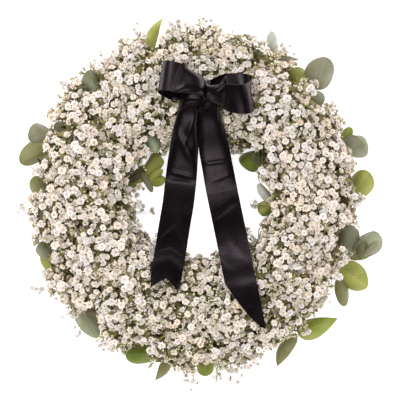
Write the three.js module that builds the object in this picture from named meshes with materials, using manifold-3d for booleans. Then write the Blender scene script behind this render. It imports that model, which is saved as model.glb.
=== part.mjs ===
// Memorial wreath: bunches of baby's breath and sprigs of eucalyptus pushed into a ring of
// floral foam, with a bow of black satin ribbon pinned at its head.
// Millimetres. The wreath lies on its back on the plane z = 0, its face up (+Z) and the bow
// towards +Y. The origin is under the middle of everything that it covers.
import * as THREE from 'three';
import { mergeVertices } from 'three/addons/utils/BufferGeometryUtils.js';
import Module from 'manifold-3d';

const { degToRad, lerp, smoothstep } = THREE.MathUtils;
const wasm = await Module();
wasm.setup();

// ---- Driving dimensions ---------------------------------------------------------------

const GAP = 0.35; // between pieces that touch
const SLIVER = 0.05; // detail finer than this is dropped

// Foam ring, 30 cm across, and the plastic tray under it.
const FOAM_OUTER = 150;
const FOAM_INNER = 100;
const FOAM_TOP = 45;
const FOAM_CORNER = 12;
const TRAY_WALL = 1.8;
const TRAY_RIM = 9;
const RING_SIDES = 44;

// Mass of flowers round the foam: an oval section, wider at the head and foot of the wreath,
// and a little fuller on its left than on its right.
const MASS_RADIUS = 139.5;
const MASS_CENTRE = 40;
const MASS_HALF_WIDTH_SIDES = 60;
const MASS_HALF_WIDTH_ENDS = 73;
const MASS_LEFT_FULLNESS = 4;
const MASS_RISE = 56;
const MASS_DROP = 35;
const HEAD_FOAM_GAP = 3;
const HEAD_SINK = 8;
const HEAD_SPREAD = 16;
const HEAD_SPACING = 1.6;
const HEAD_ROUNDING = 0.15;
const HEAD_LUMP = 0.035;
const HEAD_STEPS_ALONG = 5;
const HEAD_STEPS_AROUND = 4;

// Rows of bunches: how many, the stretch of the section that each fills in degrees from the
// outer side, and where and how deep its stems enter the foam.
const ROWS = [
  { name: 'outer_spray', count: 12, from: -42, to: 40, turn: 15, stemRadius: 150, stemHeight: 27,
    stemDepth: [-17, 0], stemReach: [9, 0] },
  { name: 'top_spray', count: 12, from: 40, to: 135, turn: 0, stemRadius: 125, stemHeight: 45,
    stemDepth: [0, -15], stemReach: [0, 12] },
  { name: 'inner_spray', count: 8, from: 135, to: 204, turn: 22.5, stemRadius: 100, stemHeight: 27,
    stemDepth: [15, 0], stemReach: [-8, 0] },
];
const BUNCH_STEM_RADIUS = 2.2;

// Eucalyptus.
const LEAF_THICKNESS = 1;
const SPRIG_STEM_RADIUS = 1.4;
const LEAF_STALK_RADIUS = 0.8;
const STALK_OVERLAP = 1.5;
const STALK_IN_LEAF = 0.12;
const SPRIG_ENTRY_HEIGHT = 12;
const SPRIG_DEPTH = 16;

// Satin ribbon, one length tied in a bow and pinned through the knot.
const RIBBON_WIDTH = 38;
const RIBBON_THICKNESS = 1;
const KNOT_CENTRE = new THREE.Vector3(9, 133, 106);
const KNOT_HALF = [6, 8.5, 6];
const NOTCH_DEPTH = 11;
const PIN_RADIUS = 0.9;
const PIN_DEPTH = 22;

// Finishes.
const PETALS = { color: 0xe6dccb, roughness: 0.8, metalness: 0 };
const GREY_LEAF = { color: 0x7f8c78, roughness: 0.6, metalness: 0 };
const FRESH_LEAF = { color: 0x8fa050, roughness: 0.55, metalness: 0 };
const FOAM = { color: 0x2f4a2c, roughness: 0.95, metalness: 0 };
const TRAY = { color: 0x1f3322, roughness: 0.4, metalness: 0 };
const SATIN = { color: 0x1b151a, roughness: 0.35, metalness: 0 };
const WIRE = { color: 0x8a8d90, roughness: 0.35, metalness: 0.9 };

// ---- Solids ---------------------------------------------------------------------------

/** A closed geometry as a solid that can be joined to others and cut. */
function toSolid(geometry) {
  const plain = geometry.clone();
  plain.deleteAttribute('normal');
  plain.deleteAttribute('uv');
  const merged = mergeVertices(plain, 1e-4);
  return new wasm.Manifold(new wasm.Mesh({
    numProp: 3,
    vertProperties: Float32Array.from(merged.attributes.position.array),
    triVerts: Uint32Array.from(merged.index.array),
  }));
}

/** A solid back as a geometry, without the slivers that joins and cuts leave. */
function toGeometry(solid) {
  const { vertProperties, triVerts } = solid.asOriginal().simplify(SLIVER).getMesh();
  const geometry = new THREE.BufferGeometry();
  geometry.setAttribute('position', new THREE.BufferAttribute(vertProperties, 3));
  geometry.setIndex(new THREE.BufferAttribute(triVerts, 1));
  geometry.computeVertexNormals();
  return geometry;
}

function joined(geometries) {
  return geometries.map(toSolid).reduce((whole, piece) => whole.add(piece));
}

/** A mesh under its node's name. */
function named(name, geometry, finish) {
  const mesh = new THREE.Mesh(geometry, new THREE.MeshStandardMaterial(finish));
  mesh.name = name;
  return mesh;
}

/** Moves each point of a unit block with map(u, v, w), where u, v, w run from -0.5 to 0.5. */
function bentBlock(uSteps, vSteps, map) {
  const block = new THREE.BoxGeometry(1, 1, 1, uSteps, vSteps, 1);
  const place = block.attributes.position;
  for (let i = 0; i < place.count; i += 1) {
    const point = map(place.getX(i), place.getY(i), place.getZ(i));
    place.setXYZ(i, point.x, point.y, point.z);
  }
  return block;
}

/** A round rod between two points. */
function rod(from, to, radius, sides = 8) {
  const along = to.clone().sub(from);
  const geometry = new THREE.CylinderGeometry(radius, radius, along.length(), sides);
  const turn = new THREE.Quaternion();
  turn.setFromUnitVectors(new THREE.Vector3(0, 1, 0), along.clone().normalize());
  geometry.applyQuaternion(turn);
  const middle = from.clone().lerp(to, 0.5);
  return geometry.translate(middle.x, middle.y, middle.z);
}

/** A point on the ring: angle in degrees from +X, distance from the axis, and height. */
function onRing(angle, radius, height) {
  const turn = degToRad(angle);
  return new THREE.Vector3(radius * Math.cos(turn), radius * Math.sin(turn), height);
}

/** A ring turned from a closed outline of [radius, height] pairs. */
function turnedRing(outline) {
  const profile = outline.map(([radius, height]) => new THREE.Vector2(radius, height));
  profile.push(profile[0].clone());
  const ring = new THREE.LatheGeometry(profile, RING_SIDES);
  return ring.rotateX(Math.PI / 2);
}

// ---- Tray and foam --------------------------------------------------------------------

/** A shallow channel with a flat underside. */
function baseTray() {
  const outer = FOAM_OUTER + GAP + TRAY_WALL;
  const inner = FOAM_INNER - GAP - TRAY_WALL;
  const outline = [
    [inner, 0], [outer, 0], [outer, TRAY_RIM], [outer - TRAY_WALL, TRAY_RIM],
    [outer - TRAY_WALL, TRAY_WALL], [inner + TRAY_WALL, TRAY_WALL],
    [inner + TRAY_WALL, TRAY_RIM], [inner, TRAY_RIM],
  ];
  return turnedRing(outline);
}

/** The foam, with its shoulders cut at a slant, before stems are pushed into it. */
function foamBlank() {
  const floor = TRAY_WALL + GAP;
  const outline = [
    [FOAM_INNER, floor], [FOAM_OUTER, floor],
    [FOAM_OUTER, FOAM_TOP - FOAM_CORNER], [FOAM_OUTER - FOAM_CORNER / 2, FOAM_TOP - FOAM_CORNER / 4],
    [FOAM_OUTER - FOAM_CORNER, FOAM_TOP], [FOAM_INNER + FOAM_CORNER, FOAM_TOP],
    [FOAM_INNER + FOAM_CORNER / 2, FOAM_TOP - FOAM_CORNER / 4], [FOAM_INNER, FOAM_TOP - FOAM_CORNER],
  ];
  return turnedRing(outline);
}

// ---- Baby's breath --------------------------------------------------------------------

/** Outside of the flowers: distance from the axis and height, at an angle round the section. */
function massEdge(angle, around) {
  const share = Math.sin(degToRad(angle)) ** 2;
  const lean = -MASS_LEFT_FULLNESS * Math.cos(degToRad(angle));
  const halfWidth = lerp(MASS_HALF_WIDTH_SIDES, MASS_HALF_WIDTH_ENDS, share) + lean;
  const turn = degToRad(around);
  const climb = Math.sin(turn) > 0 ? MASS_RISE : MASS_DROP;
  return [MASS_RADIUS + halfWidth * Math.cos(turn), MASS_CENTRE + climb * Math.sin(turn)];
}

/** The flowers' face towards the foam: it follows the foam, and below its middle spreads off it. */
function foamFace(around) {
  const turn = degToRad(around);
  const squared = (value) => Math.sign(value) * Math.abs(value) ** 0.4;
  const sink = Math.max(-Math.sin(turn), 0);
  const halfWidth = (FOAM_OUTER - FOAM_INNER) / 2 + HEAD_FOAM_GAP + HEAD_SPREAD * sink;
  const halfHeight = FOAM_TOP / 2 + HEAD_FOAM_GAP;
  const middle = (FOAM_OUTER + FOAM_INNER) / 2;
  const side = sink > 0 ? Math.sign(Math.cos(turn)) : squared(Math.cos(turn));
  const height = sink > 0 ? -HEAD_SINK * sink : halfHeight * squared(Math.sin(turn));
  return [middle + halfWidth * side, FOAM_TOP / 2 + height];
}

/** One cloud of blossom: a padded block of the flower mass, lumpy on its outside. */
function flowerHead(row, angle, seed) {
  const span = 360 / row.count;
  const middle = (row.from + row.to) / 2;
  return bentBlock(HEAD_STEPS_ALONG, HEAD_STEPS_AROUND, (u, v, w) => {
    const at = angle + u * span;
    const around = middle + v * (row.to - row.from);
    const edge = 2 * Math.max(Math.abs(u), Math.abs(v));
    const lump = HEAD_LUMP * Math.sin(9 * u + seed * 2.1) * Math.cos(8 * v + seed * 1.3);
    const fullness = 1 - HEAD_LUMP + lump - HEAD_ROUNDING * edge ** 4;
    const depth = w > 0 ? fullness : 0;
    const [outRadius, outHeight] = massEdge(at, around);
    const [inRadius, inHeight] = foamFace(around);
    // The four sides step back by half the spacing, so that neighbours stay apart.
    const aside = -Math.trunc(2 * u) * (HEAD_SPACING / 2);
    const back = -Math.trunc(2 * v) * (HEAD_SPACING / 2);
    const turn = degToRad(around + 90);
    const radius = lerp(inRadius, outRadius, depth) + back * Math.cos(turn);
    const height = lerp(inHeight, outHeight, depth) + back * Math.sin(turn);
    return onRing(at, radius, height).add(onRing(at + 90, aside, 0));
  });
}

/** Every bunch of baby's breath: its head and its stems as one solid, and the stems' holes. */
function bunches() {
  const made = [];
  for (const row of ROWS) {
    for (let i = 0; i < row.count; i += 1) {
      const angle = row.turn + (i * 360) / row.count;
      const [inward, down] = row.stemDepth;
      const [outward, up] = row.stemReach;
      const tip = onRing(angle, row.stemRadius + inward, row.stemHeight + down);
      const neck = onRing(angle, row.stemRadius + outward, row.stemHeight + up);
      const stem = rod(tip, neck, BUNCH_STEM_RADIUS);
      const beyond = tip.clone().lerp(neck, -GAP / tip.distanceTo(neck));
      made.push({
        name: `${row.name}_${String(i + 1).padStart(2, '0')}`,
        solid: joined([flowerHead(row, angle, made.length), stem]),
        hole: toSolid(rod(beyond, neck, BUNCH_STEM_RADIUS + GAP)),
      });
    }
  }
  return made;
}

// ---- Eucalyptus -----------------------------------------------------------------------

// Each sprig: the angle where its stem enters the foam, the point where its leaves branch, and
// its leaves. A leaf: root, tip, width, roll in degrees about its length, and how far its
// broadest place lies along it.
const SPRIGS = [
  { name: 'eucalyptus_01', side: 'outer', at: 109, fork: [-66, 176, 12], fresh: true, leaves: [
    { root: [-64, 180, 12], tip: [-42, 223, 22], width: 17, roll: -20, broad: 0.45 }] },
  { name: 'eucalyptus_02', side: 'outer', at: 66, fork: [84, 168, 12], leaves: [
    { root: [94, 177, 12], tip: [89, 206, 26], width: 14, roll: 15, broad: 0.5 },
    { root: [97, 173, 12], tip: [125, 170, 24], width: 14, roll: 68, broad: 0.5 },
    { root: [78, 173, 12], tip: [66, 188, 17], width: 15, roll: -10, broad: 0.5 }] },
  { name: 'eucalyptus_03', side: 'outer', at: 48, fork: [128, 134, 12], leaves: [
    { root: [142, 136, 12], tip: [148, 175, 28], width: 37, roll: 10, broad: 0.42 },
    { root: [127, 142, 12], tip: [111, 160, 15], width: 25, roll: 0, broad: 0.5 },
    { root: [137, 128, 11], tip: [156, 121, 13], width: 20, roll: 0, broad: 0.5 }] },
  { name: 'eucalyptus_04', side: 'outer', at: 18, fork: [178, 62, 12], leaves: [
    { root: [183, 66, 12], tip: [210, 65, 20], width: 31, roll: 12, broad: 0.55 },
    { root: [177, 69, 11], tip: [189, 89, 13], width: 20, roll: 0, broad: 0.5 }] },
  { name: 'eucalyptus_05', side: 'outer', at: 3, fork: [187, 14, 12], fresh: true, leaves: [
    { root: [188, 15, 12], tip: [218, 20, 20], width: 33, roll: -8, broad: 0.55 }] },
  { name: 'eucalyptus_06', side: 'outer', at: -17, fork: [180, -50, 12], leaves: [
    { root: [184, -54, 12], tip: [201, -30, 20], width: 30, roll: 0, broad: 0.5 },
    { root: [190, -56, 12], tip: [224, -44, 29], width: 29, roll: -12, broad: 0.55 },
    { root: [191, -62, 12], tip: [207, -70, 17], width: 13, roll: 30, broad: 0.5 },
    { root: [200, -57, 12], tip: [227, -62, 23], width: 13, roll: 10, broad: 0.6 }] },
  { name: 'eucalyptus_07', side: 'outer', at: -28, fork: [171, -88, 12], fresh: true, leaves: [
    { root: [175, -86, 12], tip: [210, -99, 22], width: 36, roll: 8, broad: 0.45 },
    { root: [170, -95, 11], tip: [179, -127, 16], width: 22, roll: -15, broad: 0.5 }] },
  { name: 'eucalyptus_08', side: 'outer', at: -50, fork: [122, -154, 12], fresh: true, leaves: [
    { root: [127, -158, 12], tip: [173, -145, 22], width: 25, roll: -10, broad: 0.35 }] },
  { name: 'eucalyptus_09', side: 'outer', at: -61, fork: [110, -164, 12], leaves: [
    { root: [112, -168, 12], tip: [93, -204, 21], width: 17, roll: 45, broad: 0.5 }] },
  { name: 'eucalyptus_10', side: 'outer', at: -88, fork: [8, -188, 12], leaves: [
    { root: [9, -190, 12], tip: [9, -216, 18], width: 28, roll: 0, broad: 0.5 }] },
  { name: 'eucalyptus_11', side: 'outer', at: -108, fork: [-49, -177, 12], fresh: true, leaves: [
    { root: [-63, -179, 12], tip: [-69, -201, 19], width: 36, roll: 5, broad: 0.5 },
    { root: [-34, -186, 12], tip: [-50, -221, 21], width: 19, roll: -25, broad: 0.45 }] },
  { name: 'eucalyptus_12', side: 'outer', at: -134, fork: [-134, -120, 12], leaves: [
    { root: [-142, -124, 12], tip: [-118, -167, 18], width: 20, roll: -12, broad: 0.45 }] },
  { name: 'eucalyptus_13', side: 'outer', at: -163, fork: [-176, -64, 12], leaves: [
    { root: [-179, -64, 12], tip: [-196, -54, 18], width: 23, roll: 0, broad: 0.55 },
    { root: [-177, -72, 11], tip: [-192, -86, 16], width: 21, roll: 12, broad: 0.5 }] },
  { name: 'eucalyptus_14', side: 'outer', at: 176, fork: [-186, 15, 12], leaves: [
    { root: [-187, 16, 12], tip: [-206, 17, 18], width: 29, roll: 8, broad: 0.5 }] },
  { name: 'eucalyptus_15', side: 'outer', at: 159, fork: [-174, 74, 12], leaves: [
    { root: [-178, 74, 12], tip: [-206, 85, 25], width: 26, roll: 8, broad: 0.55 },
    { root: [-179, 67, 12], tip: [-217, 47, 21], width: 30, roll: -12, broad: 0.5 },
    { root: [-164, 81, 11], tip: [-169, 98, 13], width: 18, roll: 0, broad: 0.5 }] },
  { name: 'eucalyptus_16', side: 'outer', at: 130, fork: [-122, 135, 12], leaves: [
    { root: [-124, 135, 12], tip: [-132, 158, 21], width: 26, roll: 10, broad: 0.45 }] },
  { name: 'eucalyptus_17', side: 'inner', at: 158, fork: [-76, 30, 12], fresh: true, leaves: [
    { root: [-76, 35, 13], tip: [-50, 53, 27], width: 22, roll: -30, broad: 0.55 },
    { root: [-70, 27, 14], tip: [-41, 22, 25], width: 16, roll: -20, broad: 0.5 },
    { root: [-74, 22, 14], tip: [-56, 9, 18], width: 10, roll: 35, broad: 0.5 },
    { root: [-80, 26, 12], tip: [-85, 12, 14], width: 15, roll: 0, broad: 0.5 }] },
  { name: 'eucalyptus_18', side: 'inner', at: 37, fork: [76, 53, 12], fresh: true, leaves: [
    { root: [74, 47, 13], tip: [51, 53, 26], width: 29, roll: 22, broad: 0.5 },
    { root: [81, 52, 12], tip: [70, 33, 14], width: 22, roll: 0, broad: 0.5 }] },
  { name: 'eucalyptus_19', side: 'inner', at: -2, fork: [88, 3, 12], leaves: [
    { root: [89, 5, 14], tip: [73, 20, 29], width: 15, roll: 10, broad: 0.5 },
    { root: [87, -3, 12], tip: [74, -12, 19], width: 18, roll: -10, broad: 0.5 }] },
];

/** A flat leaf between its root and tip, with a round or a pointed oval outline. */
function leafBlade({ root, tip, width, roll, broad }) {
  const from = new THREE.Vector3(...root);
  const to = new THREE.Vector3(...tip);
  const along = to.clone().sub(from).normalize();
  const length = from.distanceTo(to);
  const half = width / 2;
  const outline = new THREE.Shape();
  outline.moveTo(0, 0);
  outline.bezierCurveTo(0, half * 0.75, length * broad * 0.45, half, length * broad, half);
  outline.bezierCurveTo(length * (broad + 0.3), half, length, half * 0.5, length, 0);
  outline.bezierCurveTo(length, -half * 0.5, length * (broad + 0.3), -half, length * broad, -half);
  outline.bezierCurveTo(length * broad * 0.45, -half, 0, -half * 0.75, 0, 0);
  const depth = LEAF_THICKNESS;
  const blade = new THREE.ExtrudeGeometry(outline, { depth, bevelEnabled: false, curveSegments: 3 });
  blade.translate(0, 0, -depth / 2);
  const across = new THREE.Vector3(0, 0, 1).cross(along).normalize();
  const face = along.clone().cross(across);
  const frame = new THREE.Matrix4().makeBasis(along, across, face);
  blade.rotateX(degToRad(roll));
  blade.applyMatrix4(frame);
  return blade.translate(from.x, from.y, from.z);
}

/** A sprig's stem, from inside the foam to the fork where its leaves branch. */
function sprigStem({ side, at, fork }, margin = 0) {
  const inward = side === 'outer' ? -1 : 1;
  const face = side === 'outer' ? FOAM_OUTER : FOAM_INNER;
  const end = onRing(at, face + inward * (SPRIG_DEPTH + margin), SPRIG_ENTRY_HEIGHT);
  return rod(end, new THREE.Vector3(...fork), SPRIG_STEM_RADIUS + margin, 6);
}

/** The short stalk that joins a leaf to the fork. */
function leafStalk({ side, at, fork }, { root, tip }) {
  const outward = side === 'outer' ? 1 : -1;
  const below = new THREE.Vector3(...fork).addScaledVector(onRing(at, 1, 0), -outward * STALK_OVERLAP);
  const inLeaf = new THREE.Vector3(...root).lerp(new THREE.Vector3(...tip), STALK_IN_LEAF);
  return rod(below, inLeaf, LEAF_STALK_RADIUS, 4);
}

/** Every sprig as one solid, with its hole in the foam. */
function sprigs() {
  return SPRIGS.map((sprig) => ({
    name: sprig.name,
    finish: sprig.fresh ? FRESH_LEAF : GREY_LEAF,
    solid: joined([
      sprigStem(sprig),
      ...sprig.leaves.map((leaf) => leafStalk(sprig, leaf)),
      ...sprig.leaves.map(leafBlade),
    ]),
    hole: toSolid(sprigStem(sprig, GAP)),
  }));
}

// ---- Ribbon ---------------------------------------------------------------------------

/** A strip of ribbon that follows a route; at(t) gives its middle, half width and side. */
function strip(steps, at) {
  return bentBlock(2, steps, (u, v, w) => {
    const t = 0.5 - v;
    const { middle, half, side, notch } = at(t);
    const ahead = at(Math.min(t + 0.01, 1)).middle.clone().sub(at(Math.max(t - 0.01, 0)).middle).normalize();
    const across = side.clone().addScaledVector(ahead, -side.dot(ahead)).normalize();
    const up = ahead.clone().cross(across);
    const point = middle.clone().addScaledVector(across, 2 * u * half);
    point.addScaledVector(up, w * RIBBON_THICKNESS);
    if (notch && t === 1 && u === 0) point.addScaledVector(ahead, -NOTCH_DEPTH);
    return point;
  });
}

// Tails: the route of each one's middle from the knot to its end, with its width in step.
const LEFT_TAIL = {
  name: 'left_tail',
  notch: true,
  route: [[-3, 122, 101], [-8, 104, 96], [-13, 78, 83], [-18, 50, 73], [-22, 10, 67], [-27, -30, 67],
    [-34, -72, 80], [-39, -101, 97], [-41, -109, 99]],
  widths: [11, 22, 33, 38, 38, 38, 38, 38, 38],
};
const RIGHT_TAIL = {
  name: 'right_tail',
  route: [[14, 122, 100.5], [17, 104, 96], [22, 78, 83], [26, 50, 73], [35, 0, 67], [47, -50, 72],
    [59, -98, 98], [70, -132, 103], [81, -154, 97]],
  widths: [16, 26, 33, 37, 38, 38, 36, 24, 4],
};

function ribbonTail({ route, widths, notch }) {
  const middle = new THREE.CatmullRomCurve3(route.map((point) => new THREE.Vector3(...point)));
  return strip(20, (t) => {
    const place = t * (widths.length - 1);
    const before = Math.min(Math.floor(place), widths.length - 2);
    const half = lerp(widths[before], widths[before + 1], place - before) / 2;
    return { middle: middle.getPoint(t), half, side: new THREE.Vector3(1, 0, 0), notch };
  });
}

// Loops: reach from the knot, how deep they stand, and which way their ribbon's width lies.
const LEFT_LOOP = {
  name: 'bow_left_loop',
  root: [1, 134, 110], reach: [-45, 17, 5], depth: 25, side: [0.16, 0.92, -0.36],
};
const RIGHT_LOOP = {
  name: 'bow_right_loop',
  root: [17, 132, 110], reach: [48, -6, 3], depth: 25, side: [0.1, -0.88, -0.45],
};

/** A loop of ribbon, gathered at the knot: a strip round a drop-shaped route. */
function ribbonLoop({ root, reach, depth, side }) {
  const from = new THREE.Vector3(...root);
  const out = new THREE.Vector3(...reach);
  const broad = new THREE.Vector3(...side).normalize();
  const over = out.clone().normalize().cross(broad).normalize();
  const turnwise = Math.sign(over.z);
  return strip(18, (t) => {
    const turn = lerp(-0.97, 0.97, t) * Math.PI;
    const share = (1 + Math.cos(turn)) / 2;
    const lift = turnwise * depth * 0.5 * Math.sin(turn) * (0.35 + 0.65 * share) * 1.3;
    const middle = from.clone().addScaledVector(out, share).addScaledVector(over, lift);
    const half = (RIBBON_WIDTH / 2) * lerp(0.28, 1, smoothstep(share, 0, 0.6));
    return { middle, half, side: broad };
  });
}

function bowKnot() {
  const knot = new THREE.SphereGeometry(1, 10, 7);
  return knot.scale(...KNOT_HALF).translate(...KNOT_CENTRE);
}

/** The wire that holds the knot down, pushed into the foam. */
function bowPin(margin = 0) {
  const top = KNOT_CENTRE.clone();
  top.z -= KNOT_HALF[2] + GAP;
  const bottom = top.clone().setZ(FOAM_TOP - PIN_DEPTH - margin);
  return rod(bottom, top, PIN_RADIUS + margin, 6);
}

// ---- Assembly -------------------------------------------------------------------------

const wreath = new THREE.Group();
const allBunches = bunches();
const allSprigs = sprigs();
const pinRoom = toSolid(bowPin(GAP));

let foam = toSolid(foamBlank()).subtract(pinRoom);
for (const { hole } of [...allBunches, ...allSprigs]) foam = foam.subtract(hole);

wreath.add(named('base_tray', baseTray(), TRAY));
wreath.add(named('foam_ring', toGeometry(foam), FOAM));
for (const { name, solid } of allBunches) {
  const isPinned = solid.intersect(pinRoom).volume() > 0;
  wreath.add(named(name, toGeometry(isPinned ? solid.subtract(pinRoom) : solid), PETALS));
}
for (const { name, solid, finish } of allSprigs) wreath.add(named(name, toGeometry(solid), finish));
for (const tail of [LEFT_TAIL, RIGHT_TAIL]) wreath.add(named(tail.name, ribbonTail(tail), SATIN));
for (const loop of [LEFT_LOOP, RIGHT_LOOP]) wreath.add(named(loop.name, ribbonLoop(loop), SATIN));
wreath.add(named('bow_knot', bowKnot(), SATIN));
wreath.add(named('bow_pin', bowPin(), WIRE));

// The foam's axis is the centre of every dimension above; the finished wreath is moved so that
// the origin is under the middle of its own outline.
const outline = new THREE.Box3().setFromObject(wreath);
const middle = outline.getCenter(new THREE.Vector3());
wreath.position.set(-middle.x, -middle.y, 0);

export default wreath;
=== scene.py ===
"""Looks of the memorial wreath: baby's breath and eucalyptus on a foam ring, with a satin bow.

Metres. The wreath lies on its back, its face up (+Z) and the bow towards +Y, in the frame of the
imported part. Places on the wreath are measured from the axis of its foam ring.
"""

import logging
import math
from dataclasses import dataclass
from enum import Enum

import bpy
import numpy as np
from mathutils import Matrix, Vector, kdtree


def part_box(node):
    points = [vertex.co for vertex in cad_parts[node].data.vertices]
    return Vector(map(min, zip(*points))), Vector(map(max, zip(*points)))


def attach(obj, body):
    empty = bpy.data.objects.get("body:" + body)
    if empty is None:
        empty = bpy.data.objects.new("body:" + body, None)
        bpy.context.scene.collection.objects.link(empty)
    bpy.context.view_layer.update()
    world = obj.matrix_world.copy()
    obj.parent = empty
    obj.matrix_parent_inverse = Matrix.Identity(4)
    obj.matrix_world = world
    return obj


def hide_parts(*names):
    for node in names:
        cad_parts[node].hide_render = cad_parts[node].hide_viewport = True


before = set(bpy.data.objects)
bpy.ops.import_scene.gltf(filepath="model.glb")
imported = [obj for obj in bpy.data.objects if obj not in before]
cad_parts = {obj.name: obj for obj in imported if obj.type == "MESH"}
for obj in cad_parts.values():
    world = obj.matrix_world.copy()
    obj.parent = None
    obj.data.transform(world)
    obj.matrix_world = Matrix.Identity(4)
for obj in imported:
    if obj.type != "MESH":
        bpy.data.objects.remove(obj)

LOG = logging.getLogger("wreath")
BAKE_MAP = "OFBake"
BLADE_MAP = "Blade"
ANY_TURN = 6.28  # radians, for places spun at random
UP = np.array((0.0, 0.0, 1.0))
Array = np.ndarray
Random = np.random.Generator
Socket = bpy.types.NodeSocket
Material = bpy.types.Material
Piece = bpy.types.Object
Spot = tuple[float, float, float]
Rows = tuple[tuple[float, float, float, float], ...]


# ---- Vectors, routes and meshes ----


def unit(vectors: Array) -> Array:
    """Vectors, one or many along the last axis, brought to length 1."""
    length = np.linalg.norm(vectors, axis=-1, keepdims=True)
    return vectors / np.maximum(length, 1e-12)


def smoothstep(low: float, high: float, value: Array) -> Array:
    """A smooth climb at each value, from 0 at low to 1 at high."""
    share = np.clip((value - low) / (high - low), 0.0, 1.0)
    return share * share * (3.0 - 2.0 * share)


def through(points: Array, places: Array) -> Array:
    """A smooth curve through points, read at places from 0 at the first to 1 at the last.

    Args:
        points: The points, one a row. Widths and other values may stand beside x, y, z.
        places: Where on the curve to read, from 0 to 1.

    Returns:
        One row of the points' kind for each place.
    """
    rows = np.asarray(points, float)
    padded = np.vstack([2 * rows[0] - rows[1], rows, 2 * rows[-1] - rows[-2]])
    place = np.clip(places, 0.0, 1.0) * (len(rows) - 1)
    first = np.minimum(place.astype(int), len(rows) - 2)
    t = (place - first)[:, None]
    a, b, c, d = (padded[first + k] for k in range(4))
    cubic = -a + 3 * b - 3 * c + d
    square = 2 * a - 5 * b + 4 * c - d
    return 0.5 * (2 * b + (c - a) * t + square * t**2 + cubic * t**3)


def arc(start: Array, leave: Array, end: Array, steps: int) -> Array:
    """The points of a stem's line, which first aims for leave and bends over to end."""
    t = np.linspace(0.0, 1.0, steps)[:, None]
    return (1 - t) ** 2 * start + 2 * (1 - t) * t * leave + t**2 * end


class MeshDraft:
    """Triangles gathered part by part, then made into one piece with one map."""

    def __init__(self) -> None:
        """Starts with no triangles."""
        self._points: list[Array] = []
        self._faces: list[Array] = []
        self._places: list[Array] = []
        self._own: list[Array] = []
        self._finishes: list[Array] = []
        self._count = 0

    def add(
        self,
        points: Array,
        faces: Array,
        places: Array,
        finish: int = 0,
        own: Array | None = None,
    ) -> None:
        """Adds triangles.

        Args:
            points: Corner points, in the frame.
            faces: Three point numbers for each triangle, from 0.
            places: Each point's place on the map.
            finish: The number of their finish in the piece's list.
            own: Each point's place across and along its own blade or ribbon, from 0 to 1.
        """
        self._points.append(points)
        self._faces.append(faces + self._count)
        self._places.append(places)
        self._own.append(places if own is None else own)
        self._finishes.append(np.full(len(faces), finish))
        self._count += len(points)

    def points(self) -> Array:
        """All the points gathered so far."""
        return np.concatenate(self._points)

    def piece(self, name: str, finishes: list[Material]) -> Piece:
        """Makes the piece and links it to the scene.

        Args:
            name: The piece's name.
            finishes: Its materials, in the order that add() numbers them.

        Returns:
            The piece's object.
        """
        faces = np.concatenate(self._faces).astype(np.int32)
        mesh = bpy.data.meshes.new(name)
        mesh.vertices.add(self._count)
        mesh.vertices.foreach_set("co", self.points().astype(np.float32).ravel())
        mesh.loops.add(faces.size)
        mesh.loops.foreach_set("vertex_index", faces.ravel())
        mesh.polygons.add(len(faces))
        mesh.polygons.foreach_set("loop_start", np.arange(0, faces.size, 3, dtype=np.int32))
        mesh.polygons.foreach_set("material_index", np.concatenate(self._finishes).astype(np.int32))
        mesh.polygons.foreach_set("use_smooth", np.ones(len(faces), bool))
        maps = {BAKE_MAP: self._places}
        if any(own is not places for own, places in zip(self._own, self._places)):
            maps[BLADE_MAP] = self._own
        for map_name, parts in maps.items():
            layer = mesh.uv_layers.new(name=map_name)
            corners = np.concatenate(parts).astype(np.float32)[faces.ravel()]
            layer.data.foreach_set("uv", corners.ravel())
        for finish in finishes:
            mesh.materials.append(finish)
        mesh.update(calc_edges=True)
        piece = bpy.data.objects.new(name, mesh)
        bpy.context.scene.collection.objects.link(piece)
        return piece


def standing_for(piece: Piece, node: str) -> Piece:
    """The piece, once it rides on the wreath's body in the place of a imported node.

    Args:
        piece: The piece.
        node: The node that it stands for.

    Returns:
        The same piece.
    """
    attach(piece, "root")
    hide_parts(node)
    return piece


def grid_faces(rows: int, columns: int, closed: bool = False) -> Array:
    """Triangles between the points of a grid that is numbered row by row.

    Args:
        rows: How many rows of points.
        columns: How many points in a row.
        closed: Whether the last point of a row meets the first.

    Returns:
        Three point numbers for each triangle.
    """
    across = np.arange(columns if closed else columns - 1)
    row, column = np.meshgrid(np.arange(rows - 1), across, indexing="ij")
    after = (column + 1) % columns
    a = (row * columns + column).ravel()
    b = (row * columns + after).ravel()
    c = ((row + 1) * columns + after).ravel()
    d = ((row + 1) * columns + column).ravel()
    return np.concatenate([np.stack([a, b, c], 1), np.stack([a, c, d], 1)])


def tube_mesh(line: Array, radii: Array, sides: int) -> tuple[Array, Array]:
    """A tube round a line, open at its ends.

    Args:
        line: The points of its middle.
        radii: Its radius at each point.
        sides: How many sides it has.

    Returns:
        Its points, ring by ring, and its triangles.
    """
    ahead = unit(np.gradient(line, axis=0))
    lean = np.array((0.31, 0.17, 0.93)) if abs(ahead[0][2]) < 0.8 else np.array((0.93, 0.31, 0.17))
    across = unit(np.cross(ahead, lean))
    beside = np.cross(ahead, across)
    turn = np.linspace(0.0, 2 * math.pi, sides, endpoint=False)
    spokes = across[:, None] * np.cos(turn)[:, None] + beside[:, None] * np.sin(turn)[:, None]
    points = line[:, None] + radii[:, None, None] * spokes
    return points.reshape(-1, 3), grid_faces(len(line), sides, closed=True)


# ---- Finishes ----

Colour = tuple[float, float, float]
Stops = tuple[tuple[float, Colour], ...]


def rgba(colour: Colour) -> tuple[float, float, float, float]:
    """A colour with full cover, as sockets take it."""
    return (*colour, 1.0)


def covered(inputs: dict) -> dict:
    """Inputs for a node, with full cover given to each plain colour among them."""
    return {key: rgba(value) if isinstance(value, tuple) else value for key, value in inputs.items()}


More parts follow.
